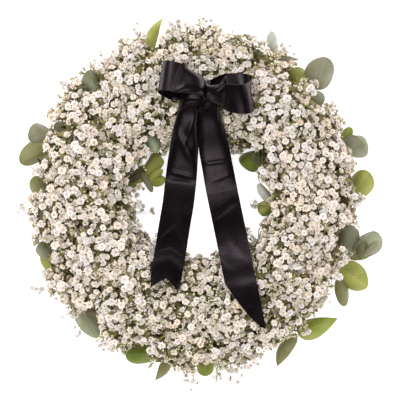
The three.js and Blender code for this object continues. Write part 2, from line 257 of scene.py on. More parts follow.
class Nodes:
    """Places nodes in a tree and links them."""

    def __init__(self, tree: bpy.types.NodeTree) -> None:
        """Works on one tree."""
        self.tree = tree

    def add(self, kind: str, inputs: dict | None = None, **settings: object) -> bpy.types.Node:
        """Adds a node.

        Args:
            kind: The node's type.
            inputs: Values, or other nodes' outputs, for its inputs by name or number.
            **settings: The node's own settings.

        Returns:
            The node.
        """
        node = self.tree.nodes.new(kind)
        for name, value in settings.items():
            setattr(node, name, value)
        self.feed(node, inputs or {})
        return node

    def feed(self, node: bpy.types.Node, inputs: dict) -> None:
        """Sets a node's inputs, or links them where they come from other nodes.

        Args:
            node: The node.
            inputs: Values, or other nodes' outputs, for its inputs by name or number.
        """
        for key, value in inputs.items():
            if isinstance(value, Socket):
                self.tree.links.new(value, node.inputs[key])
            else:
                node.inputs[key].default_value = value

    def number(self, operation: str, *values: object) -> Socket:
        """The output of a sum, product or other operation on numbers or outputs."""
        return self.add("ShaderNodeMath", dict(enumerate(values)), operation=operation).outputs[0]

    def spread(
        self, value: object, low: float, high: float, to_low: float, to_high: float
    ) -> Socket:
        """Stretches a range of values to another, with smooth ends.

        Args:
            value: The output to stretch.
            low: Where its range starts.
            high: Where it ends.
            to_low: What the start becomes.
            to_high: What the end becomes.

        Returns:
            The stretched output.
        """
        ends = {1: low, 2: high, 3: to_low, 4: to_high}
        node = self.add("ShaderNodeMapRange", {0: value, **ends}, interpolation_type="SMOOTHSTEP")
        return node.outputs[0]

    def ramp(self, value: Socket, stops: Stops) -> Socket:
        """A colour that runs through stops as a value goes from 0 to 1.

        Args:
            value: The value.
            stops: Places from 0 to 1 with their colours.

        Returns:
            The colour's output.
        """
        node = self.add("ShaderNodeValToRGB", {0: value})
        elements = node.color_ramp.elements
        while len(elements) < len(stops):
            elements.new(1.0)
        for element, (place, colour) in zip(elements, stops):
            element.position = place
            element.color = rgba(colour)
        return node.outputs[0]

    def mix(self, share: object, first: object, second: object, blend: str = "MIX") -> Socket:
        """The output of one colour mixed into another, by the share of the second that shows."""
        inputs = covered({"Factor": share, 6: first, 7: second})
        return self.add("ShaderNodeMix", inputs, data_type="RGBA", blend_type=blend).outputs[2]


class Effect:
    """An effect that several finishes use: a node group with named inputs and outputs."""

    def __init__(self, name: str, inputs: dict[str, object], outputs: dict[str, str]) -> None:
        """Makes the group's sockets.

        Args:
            name: The group's name.
            inputs: Each input's name and starting value: a number, or a colour of three.
            outputs: Each output's name and socket type.
        """
        self.tree = bpy.data.node_groups.new(name, "ShaderNodeTree")
        for label, value in inputs.items():
            kind = "NodeSocketColor" if isinstance(value, tuple) else "NodeSocketFloat"
            socket = self.tree.interface.new_socket(label, in_out="INPUT", socket_type=kind)
            socket.default_value = rgba(value) if isinstance(value, tuple) else value
        for label, kind in outputs.items():
            self.tree.interface.new_socket(label, in_out="OUTPUT", socket_type=kind)
        self.nodes = Nodes(self.tree)
        self.given = self.nodes.add("NodeGroupInput").outputs

    def give(self, results: dict[str, Socket]) -> None:
        """Links what the group puts out, by each output's name."""
        self.nodes.add("NodeGroupOutput", dict(results))

    def place(self, nodes: Nodes, inputs: dict[str, object]) -> bpy.types.Node:
        """Places the group in a material, with that material's own values."""
        return nodes.add("ShaderNodeGroup", covered(inputs), node_tree=self.tree)


def uneven_effect() -> Effect:
    """The cloudy change of colour, and the fine grain, that leaves, foam and plastic have.

    Returns:
        The effect.
    """
    effect = Effect(
        "Uneven colour",
        {"Main": (0.5, 0.5, 0.5), "Other": (0.3, 0.3, 0.3), "Cloud scale": 60.0, "Grain scale": 900.0},
        {"Colour": "NodeSocketColor", "Height": "NodeSocketFloat"},
    )
    nodes = effect.nodes
    place = nodes.add("ShaderNodeTexCoord").outputs["Object"]
    cloud, grain = (
        nodes.add("ShaderNodeTexNoise", {"Vector": place, "Scale": effect.given[scale], "Detail": detail})
        for scale, detail in (("Cloud scale", 3.0), ("Grain scale", 2.0))
    )
    share = nodes.spread(cloud.outputs[0], 0.35, 0.65, 0.0, 1.0)
    speck = nodes.number("MULTIPLY", nodes.number("SUBTRACT", grain.outputs[0], 0.5), 0.5)
    share = nodes.number("ADD", share, speck)
    clamped = nodes.number("MINIMUM", nodes.number("MAXIMUM", share, 0.0), 1.0)
    mixed = nodes.mix(clamped, effect.given["Main"], effect.given["Other"])
    effect.give({"Colour": mixed, "Height": grain.outputs[0]})
    return effect


def off_middle(nodes: Nodes, across: Socket) -> Socket:
    """How far a place is from a blade's middle, from 0 to 1 at its edges."""
    return nodes.number("ABSOLUTE", nodes.number("SUBTRACT", nodes.number("MULTIPLY", across, 2.0), 1.0))


def vein_effect() -> Effect:
    """The midrib, side veins and margin of a leaf, from its own map: across, then along.

    Returns:
        The effect.
    """
    effect = Effect(
        "Leaf veins",
        {"Side veins": 9.0, "Slant": 0.35, "Margin": 0.06},
        {"Veins": "NodeSocketFloat", "Margin": "NodeSocketFloat"},
    )
    nodes = effect.nodes
    place = nodes.add("ShaderNodeUVMap", uv_map=BLADE_MAP).outputs[0]
    parts = nodes.add("ShaderNodeSeparateXYZ", {0: place}).outputs
    off = off_middle(nodes, parts[0])
    rib = nodes.spread(off, 0.0, 0.07, 1.0, 0.0)
    slant = nodes.number("MULTIPLY", off, effect.given["Slant"])
    along = nodes.number("MULTIPLY", nodes.number("SUBTRACT", parts[1], slant), effect.given["Side veins"])
    beat = nodes.number("PINGPONG", along, 0.5)
    line = nodes.spread(beat, 0.0, 0.12, 0.55, 0.0)
    side = nodes.number("MULTIPLY", line, nodes.spread(off, 0.5, 1.0, 1.0, 0.2))
    inner = nodes.number("SUBTRACT", 1.0, effect.given["Margin"])
    outside = nodes.number("DIVIDE", nodes.number("SUBTRACT", off, inner), effect.given["Margin"])
    edge = nodes.spread(outside, 0.0, 1.0, 0.0, 1.0)
    effect.give({"Veins": nodes.number("MAXIMUM", rib, side), "Margin": edge})
    return effect


class Finish:
    """A finish: its name and a Principled shader to which dress() links what changes."""

    name: str

    def material(self) -> Material:
        """Makes the finish's material, its shader dressed.

        Returns:
            The material.
        """
        made = bpy.data.materials.new(self.name)
        made.use_nodes = True
        made.node_tree.nodes.clear()
        nodes = Nodes(made.node_tree)
        shader = nodes.add("ShaderNodeBsdfPrincipled")
        nodes.add("ShaderNodeOutputMaterial", {"Surface": shader.outputs[0]})
        self.dress(nodes, shader)
        return made

    def dress(self, nodes: Nodes, shader: bpy.types.Node) -> None:
        """Sets and links the shader's inputs."""
        raise NotImplementedError


def bump(nodes: Nodes, height: Socket, strength: float, depth: float) -> Socket:
    """The normal of a bump from a height, its depth in metres."""
    inputs = {"Height": height, "Strength": strength, "Distance": depth}
    return nodes.add("ShaderNodeBump", inputs).outputs[0]


def clouded(
    nodes: Nodes, finish: "Finish", cloud_scale: float, grain_scale: float
) -> tuple[Socket, Socket]:
    """A finish's uneven colour, and the height of its grain.

    Args:
        nodes: The material's nodes.
        finish: The finish, with its two colours and the effect.
        cloud_scale: How fine the clouds are.
        grain_scale: How fine the grain is.

    Returns:
        The colour's output and the height's.
    """
    scales = {"Cloud scale": cloud_scale, "Grain scale": grain_scale}
    group = finish.uneven.place(nodes, {"Main": finish.main, "Other": finish.other, **scales})
    return group.outputs["Colour"], group.outputs["Height"]


@dataclass(frozen=True)
class BlossomFinish(Finish):
    """Baby's breath. On the map, petals lie left of the middle, from throat to tip, and greens
    right of it: stems, calyx, then buds from base to tip. Its height is the flower's tone: partly
    its own, at random, and partly painted light and shade, darker deep in the mass and whiter higher up."""

    name: str = "babys_breath"
    # Petal colours by tone: the lower stops are painted shade for flowers deep in or low on the mass.
    petal_tones_and_shade: Stops = (
        (0.0, (0.51, 0.41, 0.25)),
        (0.3, (0.73, 0.605, 0.475)),
        (0.6, (0.76, 0.675, 0.60)),
        (1.0, (0.715, 0.668, 0.648)),
    )
    throat: Colour = (0.82, 0.77, 0.58)
    greens: Stops = (
        (0.52, (0.235, 0.195, 0.08)),
        (0.66, (0.37, 0.32, 0.13)),
        (0.76, (0.38, 0.385, 0.14)),
        (0.86, (0.57, 0.545, 0.30)),
        (0.97, (0.80, 0.75, 0.64)),
    )
    # Greens darkened by tone; on the flowers' cups this carries the flowers' painted shade.
    green_tones: Stops = (
        (0.0, (0.14, 0.14, 0.13)),
        (0.4, (0.56, 0.56, 0.50)),
        (1.0, (1.0, 1.0, 1.0)),
    )
    roughness: float = 0.8

    def dress(self, nodes: Nodes, shader: bpy.types.Node) -> None:
        """Colours the flowers from their map.

        Args:
            nodes: The material's nodes.
            shader: Its Principled shader.
        """
        place = nodes.add("ShaderNodeUVMap", uv_map=BAKE_MAP).outputs[0]
        parts = nodes.add("ShaderNodeSeparateXYZ", {0: place}).outputs
        # Painted shade: the tone darkens the petals of flowers deep in or low on the mass.
        petals = nodes.ramp(parts[1], self.petal_tones_and_shade)
        near_throat = nodes.spread(parts[0], 0.02, 0.26, 0.7, 0.0)
        petals = nodes.mix(near_throat, petals, self.throat, "MULTIPLY")
        shade = nodes.ramp(parts[1], self.green_tones)
        greens = nodes.mix(1.0, nodes.ramp(parts[0], self.greens), shade, "MULTIPLY")
        colour = nodes.mix(nodes.number("GREATER_THAN", parts[0], 0.5), petals, greens)
        plain = {"Roughness": self.roughness, "Specular IOR Level": 0.25}
        nodes.feed(shader, {"Base Color": colour, **plain})


@dataclass(frozen=True)
class LeafFinish(Finish):
    """A eucalyptus leaf: a dull waxy face with a pale midrib and a thin reddish margin."""

    uneven: Effect
    veins: Effect
    name: str
    main: Colour
    other: Colour
    rib: Colour
    margin: Colour
    roughness: float = 0.5

    def dress(self, nodes: Nodes, shader: bpy.types.Node) -> None:
        """Clouds the leaf's green, and draws its veins and margin.

        Args:
            nodes: The material's nodes.
            shader: Its Principled shader.
        """
        colour, grain = clouded(nodes, self, 70.0, 1400.0)
        drawn = self.veins.place(nodes, {"Side veins": 8.0, "Slant": 0.4, "Margin": 0.07}).outputs
        ribbed = nodes.mix(nodes.number("MULTIPLY", drawn["Veins"], 0.45), colour, self.rib)
        edged = nodes.mix(nodes.number("MULTIPLY", drawn["Margin"], 0.5), ribbed, self.margin)
        height = nodes.number("SUBTRACT", grain, nodes.number("MULTIPLY", drawn["Veins"], 0.6))
        waxy = nodes.spread(grain, 0.3, 0.7, self.roughness - 0.08, self.roughness + 0.1)
        gloss = {"Roughness": waxy, "Specular IOR Level": 0.4}
        nodes.feed(shader, {"Base Color": edged, "Normal": bump(nodes, height, 0.35, 0.0003), **gloss})


@dataclass(frozen=True)
class StemFinish(Finish):
    """Eucalyptus stem: brown-green bark."""

    uneven: Effect
    name: str = "eucalyptus_stem"
    main: Colour = (0.17, 0.16, 0.07)
    other: Colour = (0.20, 0.10, 0.06)
    roughness: float = 0.6

    def dress(self, nodes: Nodes, shader: bpy.types.Node) -> None:
        """Clouds the bark and gives it grain.

        Args:
            nodes: The material's nodes.
            shader: Its Principled shader.
        """
        colour, grain = clouded(nodes, self, 120.0, 2000.0)
        normal = bump(nodes, grain, 0.4, 0.0003)
        nodes.feed(shader, {"Base Color": colour, "Normal": normal, "Roughness": self.roughness})


@dataclass(frozen=True)
class FoamFinish(Finish):
    """Wet floral foam: dark green, matt, full of fine cells."""

    uneven: Effect
    name: str = "floral_foam"
    main: Colour = (0.020, 0.042, 0.018)
    other: Colour = (0.010, 0.022, 0.010)
    roughness: float = 0.95

    def dress(self, nodes: Nodes, shader: bpy.types.Node) -> None:
        """Clouds the foam and gives it cells.

        Args:
            nodes: The material's nodes.
            shader: Its Principled shader.
        """
        colour, grain = clouded(nodes, self, 45.0, 1200.0)
        place = nodes.add("ShaderNodeTexCoord").outputs["Object"]
        cells = nodes.add("ShaderNodeTexVoronoi", {"Vector": place, "Scale": 1500.0}).outputs["Distance"]
        normal = bump(nodes, nodes.number("ADD", cells, grain), 0.8, 0.0006)
        nodes.feed(shader, {"Base Color": colour, "Normal": normal, "Roughness": self.roughness})


@dataclass(frozen=True)
class TrayFinish(Finish):
    """Moulded dark green plastic, a little scuffed."""

    uneven: Effect
    name: str = "tray_plastic"
    main: Colour = (0.014, 0.032, 0.018)
    other: Colour = (0.022, 0.046, 0.028)
    roughness: float = 0.38

    def dress(self, nodes: Nodes, shader: bpy.types.Node) -> None:
        """Clouds the plastic and dulls it where it is scuffed.

        Args:
            nodes: The material's nodes.
            shader: Its Principled shader.
        """
        colour, grain = clouded(nodes, self, 90.0, 2600.0)
        dulled = nodes.spread(grain, 0.35, 0.65, self.roughness, self.roughness + 0.2)
        normal = bump(nodes, grain, 0.15, 0.0002)
        nodes.feed(shader, {"Base Color": colour, "Normal": normal, "Roughness": dulled})


@dataclass(frozen=True)
class WireFinish(Finish):
    """Brushed steel wire."""

    uneven: Effect
    name: str = "steel_wire"
    main: Colour = (0.42, 0.43, 0.45)
    other: Colour = (0.30, 0.31, 0.33)
    roughness: float = 0.35

    def dress(self, nodes: Nodes, shader: bpy.types.Node) -> None:
        """Clouds the steel and roughens it in streaks.

        Args:
            nodes: The material's nodes.
            shader: Its Principled shader.
        """
        colour, grain = clouded(nodes, self, 300.0, 4000.0)
        streaks = nodes.spread(grain, 0.3, 0.7, self.roughness - 0.1, self.roughness + 0.1)
        nodes.feed(shader, {"Base Color": colour, "Metallic": 1.0, "Roughness": streaks})


@dataclass(frozen=True)
class SatinFinish(Finish):
    """Black satin ribbon with a faint aubergine sheen: fine warp threads and a close selvedge."""

    uneven: Effect
    name: str = "black_satin"
    main: Colour = (0.0024, 0.0015, 0.0018)
    other: Colour = (0.0042, 0.0027, 0.0033)
    roughness: float = 0.28
    warp_threads: float = 190.0

    def dress(self, nodes: Nodes, shader: bpy.types.Node) -> None:
        """Draws the warp threads across the ribbon and the selvedge at its edges.

        Args:
            nodes: The material's nodes.
            shader: Its Principled shader.
        """
        colour, grain = clouded(nodes, self, 55.0, 700.0)
        place = nodes.add("ShaderNodeUVMap", uv_map=BLADE_MAP).outputs[0]
        parts = nodes.add("ShaderNodeSeparateXYZ", {0: place}).outputs
        threads = nodes.number("PINGPONG", nodes.number("MULTIPLY", parts[0], self.warp_threads), 0.5)
        selvedge = nodes.spread(off_middle(nodes, parts[0]), 0.95, 0.975, 0.0, 1.0)
        slubs = nodes.spread(grain, 0.3, 0.7, self.roughness - 0.04, self.roughness + 0.05)
        rough = nodes.number("ADD", slubs, nodes.number("MULTIPLY", selvedge, 0.12))
        height = nodes.number("ADD", threads, nodes.number("MULTIPLY", selvedge, 0.8))
        gloss = {"Roughness": rough, "Specular Tint": rgba((1.0, 0.82, 0.93))}
        nodes.feed(shader, {"Base Color": colour, "Normal": bump(nodes, height, 0.12, 0.00008), **gloss})


# ---- The wreath's shape ----


@dataclass(frozen=True)
class Ring:
    """The axis that the wreath is built round."""

    x: float
    y: float

    @classmethod
    def of_foam(cls) -> "Ring":
        """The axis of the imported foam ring."""
        low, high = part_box("foam_ring")
        return cls((low.x + high.x) / 2, (low.y + high.y) / 2)

    def place(self, points: object) -> Array:
        """Points measured from the axis, as points of the frame."""
        return np.asarray(points, float) + (self.x, self.y, 0.0)

    def at(self, angle: Array, radius: Array, height: Array) -> Array:
        """Points at angles round the ring in degrees from +X, radii from its axis, and heights."""
        turn = np.radians(angle)
        return self.place(np.stack([radius * np.cos(turn), radius * np.sin(turn), height + 0.0 * turn], -1))


@dataclass(frozen=True)
class FlowerMass:
    """The outside of the flowers: an oval section carried round the ring, wider at the head and
    foot of the wreath than at its sides."""

    ring: Ring
    radius: float = 0.1395
    centre: float = 0.040
    half_width_sides: float = 0.060
    half_width_ends: float = 0.073
    left_fullness: float = 0.004
    rise: float = 0.056
    drop: float = 0.035

    def half_width(self, angle: Array) -> Array:
        """Half the section's width at an angle of the ring, in degrees.

        Args:
            angle: The angle.

        Returns:
            The half width there.
        """
        turn = np.radians(angle)
        share = np.sin(turn) ** 2
        wide = self.half_width_sides + (self.half_width_ends - self.half_width_sides) * share
        return wide - self.left_fullness * np.cos(turn)

    def edge(self, angle: Array, around: Array) -> tuple[Array, Array]:
        """The outside and the way off it.

        Args:
            angle: Angles round the ring, in degrees from +X.
            around: Angles round the section, in degrees from its outer side.

        Returns:
            Points on the outside, and the unit vectors that point off it.
        """
        turn = np.radians(around)
        wide = self.half_width(angle)
        climb = np.where(np.sin(turn) > 0, self.rise, self.drop)
        radius = self.radius + wide * np.cos(turn)
        points = self.ring.at(angle, radius, self.centre + climb * np.sin(turn))
        axis = self.ring.place((0.0, 0.0, 0.0))
        off = self.ring.at(angle, np.cos(turn) / wide, np.sin(turn) / climb) - axis
        return points, unit(off)


@dataclass(frozen=True)
class SprayRow:
    """One row of bunches: the stretch of the section that it fills, and where its stems stand."""

    name: str
    count: int
    turn: float
    starts: float
    ends: float
    foot: tuple[float, float]
    neck: tuple[float, float]


class Row(Enum):
    """The rows of bunches, from the outer side of the ring over its top to the inner side."""

    OUTER = SprayRow("outer_spray", 12, 15.0, -64.0, 40.0, (0.133, 0.027), (0.156, 0.027))
    TOP = SprayRow("top_spray", 12, 0.0, 40.0, 135.0, (0.125, 0.030), (0.125, 0.052))
    INNER = SprayRow("inner_spray", 8, 22.5, 135.0, 238.0, (0.115, 0.027), (0.094, 0.027))

    def bunch_of(self, angle: float) -> int:
        """The number, from 0, of the bunch that fills the ring at an angle in degrees."""
        row = self.value
        return round((angle - row.turn) * row.count / 360.0) % row.count

    @classmethod
    def over(cls, around: float) -> "Row":
        """The row that fills the section at an angle round it, in degrees."""
        return next((row for row in cls if around < row.value.ends), cls.INNER)


def ripples(points: Array, size: float, seed: int) -> Array:
    """A smooth random height at each point, mostly from -1 to 1.

    Args:
        points: The points.
        size: How far apart its hills are.
        seed: Which heights they are.

    Returns:
        One height for each point.
    """
    random = np.random.default_rng(seed)
    waves = unit(random.normal(size=(9, 3))) * random.uniform(0.7, 1.4, (9, 1)) * 2 * math.pi / size
    phases = random.uniform(0.0, 2 * math.pi, 9)
    return np.sin(points @ waves.T + phases).sum(1) / 2.2


def thinned(points: Array, spacing: Array) -> Array:
    """Picks points in order, leaving out each that is too near one already picked.

    Args:
        points: The points.
        spacing: How far each must be from those picked before it.

    Returns:
        The numbers of the points picked.
    """
    cell = float(spacing.max())
    filled: dict[tuple[int, int, int], list[int]] = {}
    picked = []
    cells = np.floor(points / cell).astype(int)
    for i, (x, y, z) in enumerate(cells.tolist()):
        near = [
            j
            for a in (x - 1, x, x + 1)
            for b in (y - 1, y, y + 1)
            for c in (z - 1, z, z + 1)
            for j in filled.get((a, b, c), ())
        ]
        if near:
            apart = points[near] - points[i]
            if (np.einsum("ij,ij->i", apart, apart) < spacing[i] ** 2).any():
                continue
        filled.setdefault((x, y, z), []).append(i)
        picked.append(i)
    return np.array(picked)


# ---- Baby's breath ----


@dataclass(frozen=True)
class Whorl:
    """One turn of petals, sized for a flower of radius 1: how steeply they stand, in degrees,
    and how far their tips bend over."""

    petals: int
    length: float
    width: float
    rise: float
    bend: float


class Bloom(Enum):
    """How open a flower is."""

    FULL = (
        Whorl(6, 0.98, 0.86, 10.0, 36.0),
        Whorl(5, 0.92, 0.80, 38.0, 40.0),
        Whorl(4, 0.84, 0.72, 64.0, 38.0),
        Whorl(3, 0.74, 0.64, 94.0, 30.0),
    )
    HALF = (
        Whorl(5, 0.90, 0.74, 34.0, 10.0),
        Whorl(4, 0.88, 0.62, 56.0, 14.0),
        Whorl(2, 0.78, 0.52, 78.0, 16.0),
    )
    FAINT = (Whorl(5, 0.98, 0.96, 14.0, 18.0), Whorl(3, 0.80, 0.80, 48.0, 24.0))
    PLAIN = (
        Whorl(5, 0.98, 0.94, 12.0, 32.0),
        Whorl(4, 0.90, 0.82, 46.0, 38.0),
        Whorl(3, 0.76, 0.70, 84.0, 34.0),
    )


@dataclass
class Pattern:
    """One model of a flower or bud, to be repeated: its throat at the origin, its face up."""

    points: Array
    faces: Array
    along: Array
    beside: Array


THROAT_AT, TIP_AT = 0.02, 0.48
STEM_AT, CALYX_AT, BUD_AT, BUD_TIP_AT = 0.54, 0.70, 0.76, 0.97
MAP_BREADTH = 0.004


def flower_pattern(bloom: Bloom, random: Random) -> Pattern:
    """Models a flower: whorls of notched petals in a small green cup.

    Args:
        bloom: How open it is.
        random: Where its unevenness comes from.

    Returns:
        The pattern.
    """
    points, faces, along, beside = [], [], [], []
    fan = np.array([(0, 2, 1), (0, 3, 2), (1, 2, 5), (1, 5, 4), (2, 3, 6), (2, 6, 5)])
    for number, whorl in enumerate(bloom.value):
        for k in range(whorl.petals):
            spin = 2 * math.pi * (k + 0.5 * (number % 2) + random.uniform(-0.18, 0.18)) / whorl.petals
            rise = math.radians(whorl.rise + random.uniform(-9.0, 9.0))
            over = math.radians(whorl.bend + random.uniform(-12.0, 12.0))
            length = whorl.length * random.uniform(0.88, 1.06)
            half = whorl.width * random.uniform(0.42, 0.54)
            lean = random.uniform(-0.22, 0.22)
            way = np.array((math.cos(spin), math.sin(spin), 0.0))
            side = np.array((-way[1], way[0], lean))
            base = -0.30 * UP + 0.05 * way
            steep, flat = rise + 0.35 * over + 0.25, rise - 0.65 * over
            middle = base + 0.55 * length * (math.cos(steep) * way + math.sin(steep) * UP)
            tip = middle + 0.45 * length * (math.cos(flat) * way + math.sin(flat) * UP)
            cup = 0.16 * half * UP
            ruffle = random.uniform(-0.10, 0.10, 2)
            edge, corner = 0.82 * half * side, 0.92 * half * side
            points += [base, middle - edge + cup, middle - cup, middle + edge + cup]
            points += [tip - corner + ruffle[0] * UP, tip - 0.13 * length * way]
            points += [tip + corner + ruffle[1] * UP]
            faces.append(fan + 7 * sum(len(f) // 6 for f in faces))
            along += [0.0, 0.55, 0.5, 0.55, 1.0, 0.86, 1.0]
            beside += [0.0, -1.0, 0.0, 1.0, -1.0, 0.0, 1.0]
    count = len(points)
    cup_rings = ((0.10, -0.78), (0.30, -0.22))
    quarters = np.arange(4) * math.pi / 2
    cup_points = [(r * math.cos(t), r * math.sin(t), z) for r, z in cup_rings for t in quarters]
    places = THROAT_AT + (TIP_AT - THROAT_AT) * np.array(along)
    places = np.concatenate([places, np.repeat((STEM_AT + 0.06, CALYX_AT), 4)])
    beside = np.concatenate([beside, np.tile((1.0, -1.0), 4)])
    faces.append(grid_faces(2, 4, closed=True) + count)
    return Pattern(np.vstack([points, cup_points]), np.vstack(faces), places, beside)


def bud_pattern(sides: int) -> Pattern:
    """Models a closed bud: a green cup with a pale tip.

    Args:
        sides: How many sides it has.

    Returns:
        The pattern.
    """
    turns = np.arange(sides) * 2 * math.pi / sides
    rings = ((0.12, -1.0), (0.86, -0.25), (0.62, 0.55))
    points = [(r * math.cos(t), r * math.sin(t), z) for r, z in rings for t in turns] + [(0.0, 0.0, 1.0)]
    top = len(points) - 1
    crown = [(2 * sides + k, 2 * sides + (k + 1) % sides, top) for k in range(sides)]
    along = np.concatenate([np.repeat((CALYX_AT, BUD_AT + 0.05, 0.90), sides), [BUD_TIP_AT]])
    beside = np.concatenate([np.tile(np.where(np.arange(sides) % 2, 1.0, -1.0), 3), [0.3]])
    return Pattern(np.array(points), np.vstack([grid_faces(3, sides, closed=True), crown]), along, beside)


def leaf_pattern() -> Pattern:
    """Models a narrow leaf of baby's breath, arched along its length, of length 2.

    Returns:
        The pattern.
    """
    rows = ((-1.0, 0.02, -0.10), (-0.45, 0.19, 0.04), (0.25, 0.20, 0.06), (1.0, 0.02, -0.22))
    points = [(x, y * side, z) for x, y, z in rows for side in (1.0, -1.0)]
    along = np.repeat((STEM_AT + 0.02, STEM_AT + 0.05, STEM_AT + 0.06, CALYX_AT - 0.04), 2)
    return Pattern(np.array(points), grid_faces(4, 2), along, np.tile((1.0, -1.0), 4))


def facing(directions: Array, spins: Array) -> Array:
    """Turns that stand patterns up along directions.

    Args:
        directions: The unit vector for each one's face.
        spins: How far each is spun about it, in radians.

    Returns:
        One 3 by 3 turn for each.
    """
    lean = np.where(np.abs(directions[:, 2:]) < 0.9, UP, np.array((1.0, 0.0, 0.0)))
    across = unit(np.cross(lean, directions))
    beside = np.cross(directions, across)
    cos, sin = np.cos(spins)[:, None], np.sin(spins)[:, None]
    return np.stack([across * cos + beside * sin, beside * cos - across * sin, directions], -1)


@dataclass
class Flowers:
    """Flowers or buds of one kind: where each stands, faces, its size, spin and tone, which for the flowers
    holds painted light and shade.
    """

    places: Array
    facings: Array
    sizes: Array
    spins: Array
    tones: Array

    def picked(self, chosen: Array) -> "Flowers":
        """Those of them that a mask or a list of numbers picks."""
        parts = (self.places, self.facings, self.sizes, self.spins, self.tones)
        return Flowers(*(part[chosen] for part in parts))

    def add_to(self, draft: MeshDraft, patterns: list[Pattern]) -> None:
        """Models them, each from one of the patterns in turn.

        Args:
            draft: What they are added to.
            patterns: Their patterns.
        """
        turns = facing(self.facings, self.spins) * (self.sizes / 2)[:, None, None]
        for k, pattern in enumerate(patterns):
            mine = slice(k, None, len(patterns))
            count = len(self.places[mine])
            if not count:
                continue
            points = np.einsum("nij,pj->npi", turns[mine], pattern.points) + self.places[mine][:, None]
            steps = np.arange(count)[:, None, None] * len(pattern.points)
            tones = self.tones[mine][:, None] + MAP_BREADTH * pattern.beside
            places = np.stack([np.broadcast_to(pattern.along, tones.shape), tones], -1)
            draft.add(points.reshape(-1, 3), (pattern.faces + steps).reshape(-1, 3), places.reshape(-1, 2))


def stems_mesh(
    starts: Array, leaves: Array, ends: Array, radius: float, steps: int, tone: float
) -> tuple[Array, Array, Array]:
    """Many thin three-sided stems at once, each bending from start over to end.

    Args:
        starts: Where each starts.
        leaves: The point that each first aims for.
        ends: Where each ends.
        radius: Their radius at the start; they end at two thirds of it.
        steps: How many points each line has.
        tone: Their tone on the map.

    Returns:
        Their points, triangles and places on the map.
    """
    t = np.linspace(0.0, 1.0, steps)[:, None]
    lines = (1 - t) ** 2 * starts[:, None] + 2 * (1 - t) * t * leaves[:, None] + t**2 * ends[:, None]
    ahead = unit(ends - starts)
    lean = np.where(np.abs(ahead[:, 2:]) < 0.9, UP, np.array((1.0, 0.0, 0.0)))
    across = unit(np.cross(ahead, lean))
    beside = np.cross(ahead, across)
    turns = np.arange(3) * 2 * math.pi / 3
    spokes = across[:, None] * np.cos(turns)[:, None] + beside[:, None] * np.sin(turns)[:, None]
    radii = radius * (1.0 - t[:, 0] / 3)
    points = lines[:, :, None] + radii[:, None, None] * spokes[:, None]
    faces = grid_faces(steps, 3, closed=True) + np.arange(len(starts))[:, None, None] * steps * 3
    along = np.repeat(np.linspace(STEM_AT, CALYX_AT - 0.02, steps), 3)
    places = np.stack([along, np.tile(tone + MAP_BREADTH * np.array((-1.0, 0.0, 1.0)), steps)], -1)
    return points.reshape(-1, 3), faces.reshape(-1, 3), np.tile(places, (len(starts), 1))


# ---- Ribbon ----


class Hold(Enum):
    """How a ribbon takes up its width where it shows narrower than it is."""

    PLEATED = "pleated"
    CURLED = "curled under along its edges"


class Cut(Enum):
    """How a ribbon's end is cut."""

    SQUARE = "square"
    NOTCHED = "notched"
    SLANTED = "slanted"


@dataclass(frozen=True)
class Crease:
    """A soft ridge, or a hollow where its height is below 0, between two places on the ribbon:
    how far along it from its start, and how far across from its middle."""

    start: tuple[float, float]
    end: tuple[float, float]
    height: float
    breadth: float

    def lift(self, along: Array, across: Array) -> Array:
        """How far it lifts each place on the ribbon.

        Args:
            along: Distances along the ribbon.
            across: Distances across it, from its middle.

        Returns:
            The lift at each place.
        """
        a, b = np.array(self.start), np.array(self.end)
        way = b - a
        place = np.stack(np.broadcast_arrays(along, across), -1) - a
        share = np.clip(place @ way / (way @ way), 0.0, 1.0)
        off = np.linalg.norm(place - share[..., None] * way, axis=-1)
        fade = np.clip(4 * share * (1 - share) + 0.25, 0.0, 1.0)
        return self.height * fade * np.exp(-((off / self.breadth) ** 2))


def bend_for(shown: Array, profile: Array) -> Array:
    """How strongly a section must bend for only a share of its width to show.

    Args:
        shown: The share of the width that shows.
        profile: The bend's angle across the section, for a strength of 1.

    Returns:
        The strength for each share.
    """
    strengths = np.linspace(0.0, 2.9, 64)
    seen = np.minimum.accumulate(np.cos(strengths[:, None] * profile).mean(1))
    return np.interp(-shown, -seen + 1e-9 * np.arange(64), strengths)


